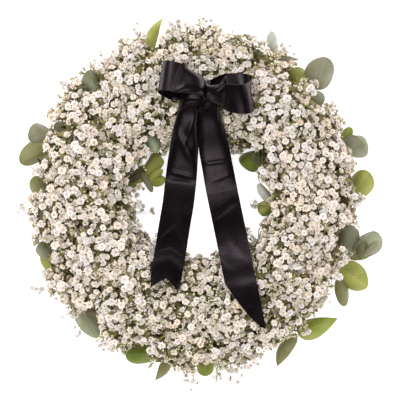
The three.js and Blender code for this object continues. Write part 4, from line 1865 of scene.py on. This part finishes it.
@dataclass(frozen=True)
class Leaf:
    """One leaf: its root and tip, its width, its roll in degrees about its length, how far its
    broadest place lies along it, how far its middle arches, how far it bows sideways and how
    blunt its tip is."""

    root: Spot
    tip: Spot
    width: float
    tone: Tone
    roll: float = 0.0
    broad: float = 0.5
    arch: float = 0.05
    sickle: float = 0.0
    blunt: float = 0.5
    rows: int = 25
    columns: int = 13

    def half_widths(self, along: Array, length: float) -> Array:
        """Half the leaf's width at distances from its root.

        Args:
            along: The distances.
            length: The leaf's length.

        Returns:
            The half width at each.
        """
        t = np.linspace(0.0, 1.0, 60)[:, None]
        half = self.width / 2
        broadest = length * self.broad
        corners = (
            ((0.0, 0.0), (0.0, 0.75 * half), (0.45 * broadest, half), (broadest, half)),
            ((broadest, half), (broadest + 0.3 * length, half), (length, self.blunt * half), (length, 0.0)),
        )
        weights = np.hstack([(1 - t) ** 3, 3 * (1 - t) ** 2 * t, 3 * (1 - t) * t**2, t**3])
        line = np.vstack([weights @ np.array(row) for row in corners])
        return np.interp(along, np.maximum.accumulate(line[:, 0]), line[:, 1])

    def shown(self, ring: Ring) -> Array:
        """Points all over the part of the leaf that shows past the flowers.

        Args:
            ring: What its places are measured from.

        Returns:
            The points.
        """
        start, end = np.array(self.root), np.array(self.tip)
        ahead = unit(end - start)
        across = unit(np.cross(UP, ahead)) * math.cos(math.radians(self.roll))
        along = np.linspace(0.30, 1.0, 20) * float(np.linalg.norm(end - start))
        half = self.half_widths(along, float(np.linalg.norm(end - start)))
        y = half[:, None] * np.linspace(-1.0, 1.0, 15)
        points = start + along[:, None, None] * ahead + y[..., None] * across
        return ring.place(points.reshape(-1, 3))

    def build(
        self, draft: MeshDraft, ring: Ring, tile: tuple[float, float], finish: int, seed: int
    ) -> None:
        """Models the leaf's two faces.

        Args:
            draft: What it is added to.
            ring: What its places are measured from.
            tile: Where its tile of the map starts across, and the tile's width.
            finish: The number of its finish.
            seed: Its unevenness.
        """
        random = np.random.default_rng(seed)
        start, end = np.array(self.root), np.array(self.tip)
        length = float(np.linalg.norm(end - start))
        ahead = unit(end - start)
        across = unit(np.cross(UP, ahead))
        face = np.cross(ahead, across)
        roll = math.radians(self.roll)
        aside = math.cos(roll) * across + math.sin(roll) * face
        above = math.cos(roll) * face - math.sin(roll) * across
        along = length * (1 - np.cos(np.linspace(0.0, math.pi, self.rows))) / 2
        half = self.half_widths(along, length)
        share = np.linspace(-1.0, 1.0, self.columns)
        share = np.sin(share * math.pi / 2) * 0.45 + share * 0.55
        y = half[:, None] * share
        v = (along / length)[:, None]
        phase = random.uniform(0.0, ANY_TURN, 3)
        rise = self.arch * length * np.sin(math.pi * v) + 0.10 * np.abs(y) - 1.6 * y**2 / self.width
        rise = rise + 0.00045 * np.abs(share) ** 2 * np.sin(11.0 * v + phase[0] + 1.5 * np.sign(share))
        rise = rise + 0.02 * length * np.sin(3.0 * v + phase[1]) * share - 0.06 * length * v**3
        sway = 0.02 * length * np.sin(math.pi * v + phase[2]) + self.sickle * length * np.sin(math.pi * v)
        thick = 0.00022 * np.sqrt(np.maximum(1.0 - share**2, 0.0)) * smoothstep(0.0, 0.06, v * (1 - v) * 4)
        thick = thick - 0.00012 * np.exp(-((share / 0.06) ** 2))
        spine = start + along[:, None, None] * ahead
        middle = spine + (y + sway)[..., None] * aside + rise[..., None] * above
        own = np.stack([np.broadcast_to((share + 1) / 2, y.shape), np.broadcast_to(v, y.shape)], -1)
        flat = np.stack([0.5 + y / self.width, np.broadcast_to(v, y.shape)], -1)
        faces = grid_faces(self.rows, self.columns)
        for side, floor in ((1.0, 0.01), (-1.0, 0.51)):
            points = ring.place((middle + side * thick[..., None] * above).reshape(-1, 3))
            places = flat.reshape(-1, 2) * (0.9 * tile[1], 0.48) + (tile[0] + 0.05 * tile[1], floor)
            turned = faces[:, ::-1] if side > 0 else faces
            draft.add(points, turned, places, finish, own.reshape(-1, 2))


@dataclass(frozen=True)
class Sprig:
    """One sprig: the angle where its stem enters the foam, the fork where its leaves branch, and
    its leaves."""

    number: str
    side: Side
    at: float
    fork: Spot
    leaves: tuple[Leaf, ...]
    fresh: bool = False
    entry_depth: float = 0.016
    entry_height: float = 0.012
    stem_radius: float = 0.0014
    stalk_radius: float = 0.0008

    def build(
        self, ring: Ring, finishes: dict[Tone, Material], bark: Material
    ) -> Piece:
        """Makes the sprig.

        Args:
            ring: What its places are measured from.
            finishes: The leaves' finishes.
            bark: Its stem's finish.

        Returns:
            The piece.
        """
        draft = MeshDraft()
        tones = list(dict.fromkeys(leaf.tone for leaf in self.leaves))
        width = 1.0 / (len(self.leaves) + 1)
        for k, leaf in enumerate(self.leaves):
            leaf.build(draft, ring, (k * width, width), tones.index(leaf.tone), int(self.number) * 10 + k)
        radius, inward = self.side.value
        turn = math.radians(self.at)
        outward = np.array((math.cos(turn), math.sin(turn), 0.0))
        entry = outward * (radius + inward * self.entry_depth) + self.entry_height * UP
        fork = np.array(self.fork)
        bow = (entry + fork) / 2 + 0.0012 * np.array((-outward[1], outward[0], 0.8))
        lines = [(arc(entry, bow, fork, 12), np.linspace(self.stem_radius, 0.0010, 12), 10)]
        for leaf in self.leaves:
            start, end = np.array(leaf.root), np.array(leaf.tip)
            inside = start + 0.16 * (end - start)
            leave = fork + 0.6 * float(np.linalg.norm(start - fork)) * unit(fork - entry)
            line = arc(fork + 0.003 * inward * outward, (leave + start) / 2, inside, 12)
            lines.append((line, np.linspace(self.stalk_radius, 0.0004, 12), 8))
        for k, (line, radii, sides) in enumerate(lines):
            radii = radii * (1 + 0.10 * np.sin(np.arange(len(radii)) * 2.1 + k))
            points, faces = tube_mesh(line, radii, sides)
            row, column = np.divmod(np.arange(len(points)), sides)
            u = 1.0 - width + width * (0.05 + 0.9 * (k + column / sides) / len(lines))
            places = np.stack([u, 0.01 + 0.98 * row / (len(line) - 1)], -1)
            own = np.tile((0.3, 0.5), (len(points), 1))
            draft.add(ring.place(points), faces[:, ::-1], places, len(tones), own)
        piece = draft.piece(f"sprig_{self.number}", [finishes[tone] for tone in tones] + [bark])
        return standing_for(piece, f"eucalyptus_{self.number}")


SPRIGS = (
    Sprig("01", Side.OUTER, 109.0, (-0.066, 0.176, 0.012), (
        Leaf(
            (-0.064, 0.17, 0.012), (-0.0415, 0.223, 0.022),
            0.0165, Tone.FRESH, -20.0, 0.42, sickle=0.08, blunt=0.1,
        ),
    ), fresh=True),
    Sprig("02", Side.OUTER, 66.0, (0.084, 0.168, 0.012), (
        Leaf((0.097, 0.174, 0.012), (0.0905, 0.206, 0.026), 0.0145, Tone.PALE, 15.0),
        Leaf((0.095, 0.1725, 0.012), (0.1245, 0.17, 0.024), 0.013, Tone.PALE, 74.0),
        Leaf((0.079, 0.163, 0.014), (0.0725, 0.184, 0.022), 0.013, Tone.SAGE, -10.0),
    )),
    Sprig("03", Side.OUTER, 48.0, (0.128, 0.134, 0.012), (
        Leaf((0.147, 0.135, 0.012), (0.157, 0.174, 0.028), 0.036, Tone.GREY, 10.0, 0.42),
        Leaf((0.13, 0.139, 0.012), (0.116, 0.161, 0.018), 0.025, Tone.FRESH),
        Leaf((0.137, 0.128, 0.012), (0.156, 0.121, 0.016), 0.02, Tone.SAGE),
    )),
    Sprig("04", Side.OUTER, 18.0, (0.178, 0.062, 0.012), (
        Leaf((0.18, 0.06, 0.016), (0.2015, 0.07, 0.026), 0.025, Tone.SLATE, 12.0, 0.55),
        Leaf((0.183, 0.063, 0.011), (0.2095, 0.0655, 0.018), 0.028, Tone.SAGE, 5.0, 0.55),
        Leaf((0.178, 0.072, 0.01), (0.1895, 0.0885, 0.013), 0.013, Tone.LUSH),
    )),
    Sprig("05", Side.OUTER, 3.0, (0.187, 0.014, 0.012), (
        Leaf((0.189, 0.006, 0.012), (0.2105, 0.034, 0.02), 0.03, Tone.FRESH, -8.0),
    ), fresh=True),
    Sprig("06", Side.OUTER, -17.0, (0.18, -0.05, 0.012), (
        Leaf((0.18, -0.069, 0.014), (0.188, -0.031, 0.026), 0.03, Tone.SLATE),
        Leaf((0.189, -0.062, 0.012), (0.225, -0.046, 0.026), 0.029, Tone.SAGE, -12.0, 0.55),
        Leaf((0.198, -0.072, 0.02), (0.2055, -0.0515, 0.031), 0.012, Tone.DARK, 12.0),
        Leaf((0.204, -0.069, 0.02), (0.2185, -0.0515, 0.032), 0.009, Tone.GREY, -15.0),
        Leaf((0.186, -0.07, 0.012), (0.2115, -0.066, 0.019), 0.013, Tone.OLIVE),
    )),
    Sprig("07", Side.OUTER, -28.0, (0.171, -0.088, 0.012), (
        Leaf((0.174, -0.082, 0.012), (0.2085, -0.106, 0.022), 0.033, Tone.FRESH, 8.0, 0.45, blunt=0.35),
        Leaf((0.177, -0.093, 0.011), (0.18, -0.13, 0.016), 0.018, Tone.OLIVE, -15.0),
    ), fresh=True),
    Sprig("08", Side.OUTER, -50.0, (0.122, -0.154, 0.012), (
        Leaf(
            (0.123, -0.163, 0.012), (0.1715, -0.1445, 0.022),
            0.026, Tone.LUSH, -10.0, 0.3, sickle=-0.04, blunt=0.05,
        ),
    ), fresh=True),
    Sprig("09", Side.OUTER, -61.0, (0.11, -0.164, 0.012), (
        Leaf(
            (0.12, -0.165, 0.012), (0.0975, -0.203, 0.021),
            0.018, Tone.OLIVE, 20.0, 0.42, sickle=-0.05, blunt=0.15,
        ),
    )),
    Sprig("10", Side.OUTER, -88.0, (0.008, -0.188, 0.012), (
        Leaf((0.011, -0.192, 0.012), (0.01, -0.2155, 0.018), 0.021, Tone.LUSH),
    )),
    Sprig("11", Side.OUTER, -108.0, (-0.049, -0.177, 0.012), (
        Leaf((-0.048, -0.188, 0.012), (-0.0875, -0.19, 0.017), 0.023, Tone.DEEP, 5.0),
        Leaf(
            (-0.03, -0.192, 0.012), (-0.0505, -0.2205, 0.021),
            0.015, Tone.OLIVE, -25.0, 0.42, sickle=0.06, blunt=0.15,
        ),
    ), fresh=True),
    Sprig("12", Side.OUTER, -134.0, (-0.134, -0.12, 0.012), (
        Leaf((-0.149, -0.126, 0.012), (-0.12, -0.1675, 0.018), 0.025, Tone.SAGE, -12.0, 0.42),
    )),
    Sprig("13", Side.OUTER, -163.0, (-0.176, -0.064, 0.012), (
        Leaf((-0.174, -0.073, 0.013), (-0.1945, -0.0545, 0.02), 0.021, Tone.SLATE, 0.0, 0.6),
        Leaf((-0.177, -0.088, 0.01), (-0.19, -0.066, 0.013), 0.014, Tone.LUSH, 12.0),
    )),
    Sprig("14", Side.OUTER, 176.0, (-0.186, 0.015, 0.012), (
        Leaf((-0.188, 0.003, 0.012), (-0.199, 0.029, 0.018), 0.021, Tone.OLIVE, 8.0),
    )),
    Sprig("15", Side.OUTER, 159.0, (-0.174, 0.074, 0.012), (
        Leaf((-0.178, 0.074, 0.012), (-0.2045, 0.087, 0.025), 0.026, Tone.GREY, 8.0, 0.55),
        Leaf((-0.176, 0.07, 0.012), (-0.217, 0.047, 0.021), 0.028, Tone.OLIVE, -12.0),
        Leaf((-0.156, 0.088, 0.015), (-0.1755, 0.091, 0.019), 0.015, Tone.SLATE),
    )),
    Sprig("16", Side.OUTER, 130.0, (-0.122, 0.135, 0.012), (
        Leaf((-0.125, 0.128, 0.036), (-0.132, 0.158, 0.046), 0.024, Tone.SAGE, 10.0, 0.45),
        Leaf((-0.118, 0.126, 0.04), (-0.13, 0.144, 0.05), 0.017, Tone.SAGE),
    )),
    Sprig("17", Side.INNER, 158.0, (-0.076, 0.03, 0.012), (
        Leaf((-0.065, 0.032, 0.013), (-0.0475, 0.056, 0.026), 0.022, Tone.FRESH, -30.0, 0.62, blunt=0.8),
        Leaf((-0.062, 0.028, 0.013), (-0.0395, 0.024, 0.023), 0.016, Tone.LUSH, -20.0, 0.55),
        Leaf((-0.061, 0.024, 0.016), (-0.0425, 0.0365, 0.03), 0.011, Tone.FRESH, 10.0),
        Leaf((-0.066, 0.031, 0.012), (-0.084, 0.016, 0.016), 0.012, Tone.FRESH, 20.0),
        Leaf((-0.068, 0.034, 0.016), (-0.0555, 0.0095, 0.022), 0.0095, Tone.GREY, 15.0),
        Leaf((-0.061, 0.042, 0.014), (-0.082, 0.022, 0.018), 0.014, Tone.DARK),
        Leaf((-0.059, 0.079, 0.058), (-0.0485, 0.0575, 0.056), 0.017, Tone.SAGE),
    ), fresh=True),
    Sprig("18", Side.INNER, 37.0, (0.076, 0.053, 0.012), (
        Leaf((0.079, 0.056, 0.013), (0.054, 0.044, 0.026), 0.028, Tone.DEEP, 22.0),
        Leaf((0.087, 0.043, 0.016), (0.066, 0.056, 0.028), 0.018, Tone.DARK),
    ), fresh=True),
    Sprig("19", Side.INNER, -2.0, (0.088, 0.003, 0.012), (
        Leaf((0.093, -0.004, 0.016), (0.0745, 0.0195, 0.029), 0.0125, Tone.PALE, 10.0),
        Leaf((0.092, -0.005, 0.012), (0.076, -0.0155, 0.019), 0.019, Tone.FRESH, -10.0),
    )),
)


@dataclass(frozen=True)
class Eucalyptus:
    """All the eucalyptus: 16 sprigs round the outside of the foam and three round its inside."""

    ring: Ring
    uneven: Effect
    veins: Effect

    def build(self) -> list[Piece]:
        """Makes every sprig.

        Returns:
            Their pieces.
        """
        bark = StemFinish(self.uneven).material()
        finishes = {tone: LeafFinish(self.uneven, self.veins, *tone.value).material() for tone in Tone}
        return [sprig.build(self.ring, finishes, bark) for sprig in SPRIGS]


# ---- Tray, foam and pin ----


def revolved(ring: Ring, section: Array, steps: int) -> tuple[Array, Array, Array]:
    """A closed section carried round the ring.

    Args:
        ring: The axis.
        section: Its radius and height at each point, anticlockwise.
        steps: How many places round the ring.

    Returns:
        Its points, triangles and places on the map.
    """
    closed = np.vstack([section, section[:1]])
    angle = np.linspace(0.0, 360.0, steps + 1)
    points = ring.at(angle[:, None], closed[:, 0], closed[:, 1])
    passed = np.concatenate([[0.0], np.cumsum(np.linalg.norm(np.diff(closed, axis=0), axis=1))])
    u, v = np.meshgrid(np.linspace(0.01, 0.99, steps + 1), 0.01 + 0.98 * passed / passed[-1], indexing="ij")
    faces = grid_faces(steps + 1, len(closed))[:, ::-1]
    return points.reshape(-1, 3), faces, np.stack([u, v], -1).reshape(-1, 2)


def rounded(corners: list[tuple[float, float, float]], steps: int = 7) -> Array:
    """A section with rounded corners.

    Args:
        corners: Radius, height and rounding of each corner, in order.
        steps: How many points round each corner.

    Returns:
        The section's points.
    """
    places = np.array(corners)
    made = []
    for k, (x, y, bevel) in enumerate(corners):
        here = np.array((x, y))
        before = here + bevel * unit(places[k - 1][:2] - here)
        after = here + bevel * unit(places[(k + 1) % len(places)][:2] - here)
        t = np.linspace(0.0, 1.0, steps)[:, None]
        made.append((1 - t) ** 2 * before + 2 * (1 - t) * t * here + t**2 * after)
    return np.vstack(made)


@dataclass(frozen=True)
class Base:
    """The floral foam ring in its plastic tray."""

    ring: Ring
    uneven: Effect
    inner: float = 0.100
    outer: float = 0.150
    foam_low: float = 0.00215
    foam_high: float = 0.045
    foam_rounding: float = 0.012
    gap: float = 0.00035
    wall: float = 0.0018
    rim: float = 0.009
    steps: int = 180

    def build(self) -> list[Piece]:
        """Makes the tray and the foam."""
        return [self._tray(), self._foam()]

    def _tray(self) -> Piece:
        """Makes the tray: a channel with rounded foot and lip.

        Returns:
            The piece.
        """
        low, high = self.inner - self.gap - self.wall, self.outer + self.gap + self.wall
        inside, outside = low + self.wall, high - self.wall
        corners = [
            (low, 0.0, 0.0009), (high, 0.0, 0.0009), (high, self.rim, 0.0007), (outside, self.rim, 0.0007),
            (outside, self.wall, 0.0008), (inside, self.wall, 0.0008), (inside, self.rim, 0.0007),
            (low, self.rim, 0.0007),
        ]
        draft = MeshDraft()
        draft.add(*revolved(self.ring, rounded(corners), self.steps))
        return self._piece(draft, "tray_moulding", TrayFinish(self.uneven), "base_tray", "tray")

    def _foam(self) -> Piece:
        """Makes the foam: a ring with a rounded top and a slightly crumbled face.

        Returns:
            The piece.
        """
        corners = [
            (self.inner, self.foam_low, 0.001),
            (self.outer, self.foam_low, 0.001),
            (self.outer, self.foam_high, self.foam_rounding),
            (self.inner, self.foam_high, self.foam_rounding),
        ]
        draft = MeshDraft()
        points, faces, places = revolved(self.ring, rounded(corners, 14), self.steps)
        angle = np.degrees(np.arctan2(points[:, 1] - self.ring.y, points[:, 0] - self.ring.x))
        middle = self.ring.at(angle, np.full(len(points), 0.125), 0.0236)
        crumbled = 0.00035 * (1 + ripples(points, 0.004, 3)) + 0.0003 * (1 + ripples(points, 0.015, 4))
        draft.add(points + crumbled[:, None] * unit(middle - points), faces, places)
        return self._piece(draft, "foam_core", FoamFinish(self.uneven), "foam_ring", "foam")

    def _piece(self, draft: MeshDraft, name: str, finish: Finish, node: str, slot: str) -> Piece:
        """Makes one of the two pieces."""
        return standing_for(draft.piece(name, [finish.material()]), node)


@dataclass(frozen=True)
class BowPin:
    """The pin that holds the bow: two steel wires twisted together."""

    uneven: Effect
    wire: float = 0.00045
    pitch: float = 0.006
    steps: int = 220

    def build(self) -> Piece:
        """Makes the pin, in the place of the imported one.

        Returns:
            The piece.
        """
        low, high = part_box("bow_pin")
        draft = MeshDraft()
        t = np.linspace(0.0, 1.0, self.steps)
        height = low.z + t * (high.z - low.z)
        for k, shift in enumerate((0.0, math.pi)):
            turn = 2 * math.pi * (height - low.z) / self.pitch + shift
            line = np.stack([
                (low.x + high.x) / 2 + self.wire * np.cos(turn),
                (low.y + high.y) / 2 + self.wire * np.sin(turn),
                height,
            ], -1)
            radii = self.wire * np.minimum(1.0, 0.15 + t * 30)
            points, faces = tube_mesh(line, radii, 8)
            row, column = np.divmod(np.arange(len(points)), 8)
            u = 0.02 + 0.46 * column / 8 + 0.5 * k
            places = np.stack([u, 0.01 + 0.98 * row / (self.steps - 1)], -1)
            draft.add(points, faces[:, ::-1], places)
        piece = draft.piece("pin_wires", [WireFinish(self.uneven).material()])
        return standing_for(piece, "bow_pin")


# ---- Studio ----


@dataclass(frozen=True)
class SoftLight:
    """A square soft light that faces the wreath: its place, size and power, and whether it is
    seen mirrored in glossy faces."""

    name: str
    place: Spot
    size: tuple[float, float]
    power: float
    mirrored: bool = True
    colour: Colour = (1.0, 1.0, 1.0)

    def build(self, aim: Spot) -> None:
        """Hangs the light, turned towards a place.

        Args:
            aim: The place.
        """
        light = bpy.data.lights.new(self.name, "AREA")
        light.shape = "RECTANGLE"
        light.size, light.size_y = self.size
        light.energy = self.power
        light.color = self.colour
        hung = bpy.data.objects.new(self.name, light)
        hung.location = self.place
        hung.rotation_euler = (Vector(aim) - hung.location).to_track_quat("-Z", "Y").to_euler()
        hung.visible_camera = False
        hung.visible_glossy = self.mirrored
        bpy.context.scene.collection.objects.link(hung)


@dataclass(frozen=True)
class Studio:
    """A pale floor under soft lights, and the camera straight above."""

    aim: Spot = (-0.0011, -0.0010, 0.060)
    camera_height: float = 5.5
    frame_width: float = 0.486
    sensor: float = 36.0
    lights: tuple[SoftLight, ...] = (
        SoftLight("overhead", (-0.9, 0.9, 3.0), (1.8, 1.8), 51.0, mirrored=False),
        SoftLight("left_box", (-1.4, 1.6, 2.1), (1.0, 0.9), 12.0),
        SoftLight("right_box", (2.6, -1.2, 0.5), (0.8, 0.8), 2.5),
        SoftLight("foot_box", (0.0, -1.2, 2.5), (1.5, 1.15), 11.0),
        SoftLight("head_box", (0.2, 2.1, 1.8), (2.4, 0.45), 3.5),
    )

    def build(self) -> None:
        """Builds the floor, the lights, the surroundings and the camera."""
        self._floor()
        for light in self.lights:
            light.build(self.aim)
        self._surroundings()
        self._camera()

    def _floor(self) -> None:
        """Lays a wide matt floor."""
        mesh = bpy.data.meshes.new("studio_floor")
        size = 20.0
        corners = [(-size, -size, 0), (size, -size, 0), (size, size, 0), (-size, size, 0)]
        mesh.from_pydata(corners, [], [(0, 1, 2, 3)])
        material = bpy.data.materials.new("studio_floor")
        material.use_nodes = True
        shader = material.node_tree.nodes["Principled BSDF"]
        shader.inputs["Base Color"].default_value = rgba((0.92, 0.92, 0.92))
        shader.inputs["Roughness"].default_value = 0.95
        shader.inputs["Specular IOR Level"].default_value = 0.1
        shader.inputs["Emission Color"].default_value = rgba((1.0, 1.0, 1.0))
        shader.inputs["Emission Strength"].default_value = 0.7
        mesh.materials.append(material)
        floor = bpy.data.objects.new("studio_floor", mesh)
        floor.location.z = -0.0002
        bpy.context.scene.collection.objects.link(floor)

    def _surroundings(self) -> None:
        """Surrounds the scene with white: weaker as light, weaker still in glossy faces."""
        world = bpy.data.worlds.new("studio")
        world.use_nodes = True
        world.node_tree.nodes.clear()
        nodes = Nodes(world.node_tree)
        path = nodes.add("ShaderNodeLightPath").outputs
        glossy = nodes.number("MULTIPLY", path["Is Glossy Ray"], 0.015)
        diffuse = nodes.number("MULTIPLY", path["Is Diffuse Ray"], 1.16)
        seen = nodes.number("ADD", nodes.number("ADD", glossy, diffuse), path["Is Camera Ray"])
        light = nodes.add("ShaderNodeBackground", {"Color": rgba((1.0, 1.0, 1.0)), "Strength": seen})
        nodes.add("ShaderNodeOutputWorld", {"Surface": light.outputs[0]})
        bpy.context.scene.world = world

    def _camera(self) -> None:
        """Sets the camera above the wreath, the bow at the top of its frame."""
        lens = bpy.data.cameras.new("camera")
        lens.sensor_width = self.sensor
        lens.lens = self.sensor * (self.camera_height - self.aim[2]) / self.frame_width
        lens.clip_end = 100.0
        camera = bpy.data.objects.new("camera", lens)
        camera.location = (self.aim[0], self.aim[1], self.camera_height)
        bpy.context.scene.collection.objects.link(camera)
        bpy.context.scene.camera = camera
        bpy.context.scene.view_settings.view_transform = "Standard"


# ---- Together ----


def triangles(piece: Piece) -> int:
    """How many triangles a piece has."""
    return len(piece.data.polygons)


def main() -> None:
    """Builds every sub-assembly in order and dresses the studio."""
    logging.basicConfig(level=logging.INFO, format="%(name)s: %(message)s")
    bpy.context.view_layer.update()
    ring = Ring.of_foam()
    uneven, veins = uneven_effect(), vein_effect()
    base = Base(ring, uneven).build()
    sprigs = Eucalyptus(ring, uneven, veins).build()
    satin = SatinFinish(uneven).material()
    bow = SatinBow(ring, satin)
    leaves = np.vstack([leaf.shown(ring) for sprig in SPRIGS for leaf in sprig.leaves])
    breath = BabysBreath(FlowerMass(ring), BlossomFinish().material())
    bunches = breath.build(Ceiling(bow.places(), 0.005), leaves)
    pieces = base + sprigs + list(bunches.values())
    pieces += bow.build(bunches["top_spray_04"])
    pieces.append(BowPin(uneven).build())
    Studio().build()
    for piece in pieces:
        LOG.info("%s: %d triangles", piece.name, triangles(piece))
    LOG.info("in all: %d triangles", sum(map(triangles, pieces)))
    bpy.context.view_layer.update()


if __name__ == "__main__":
    main()
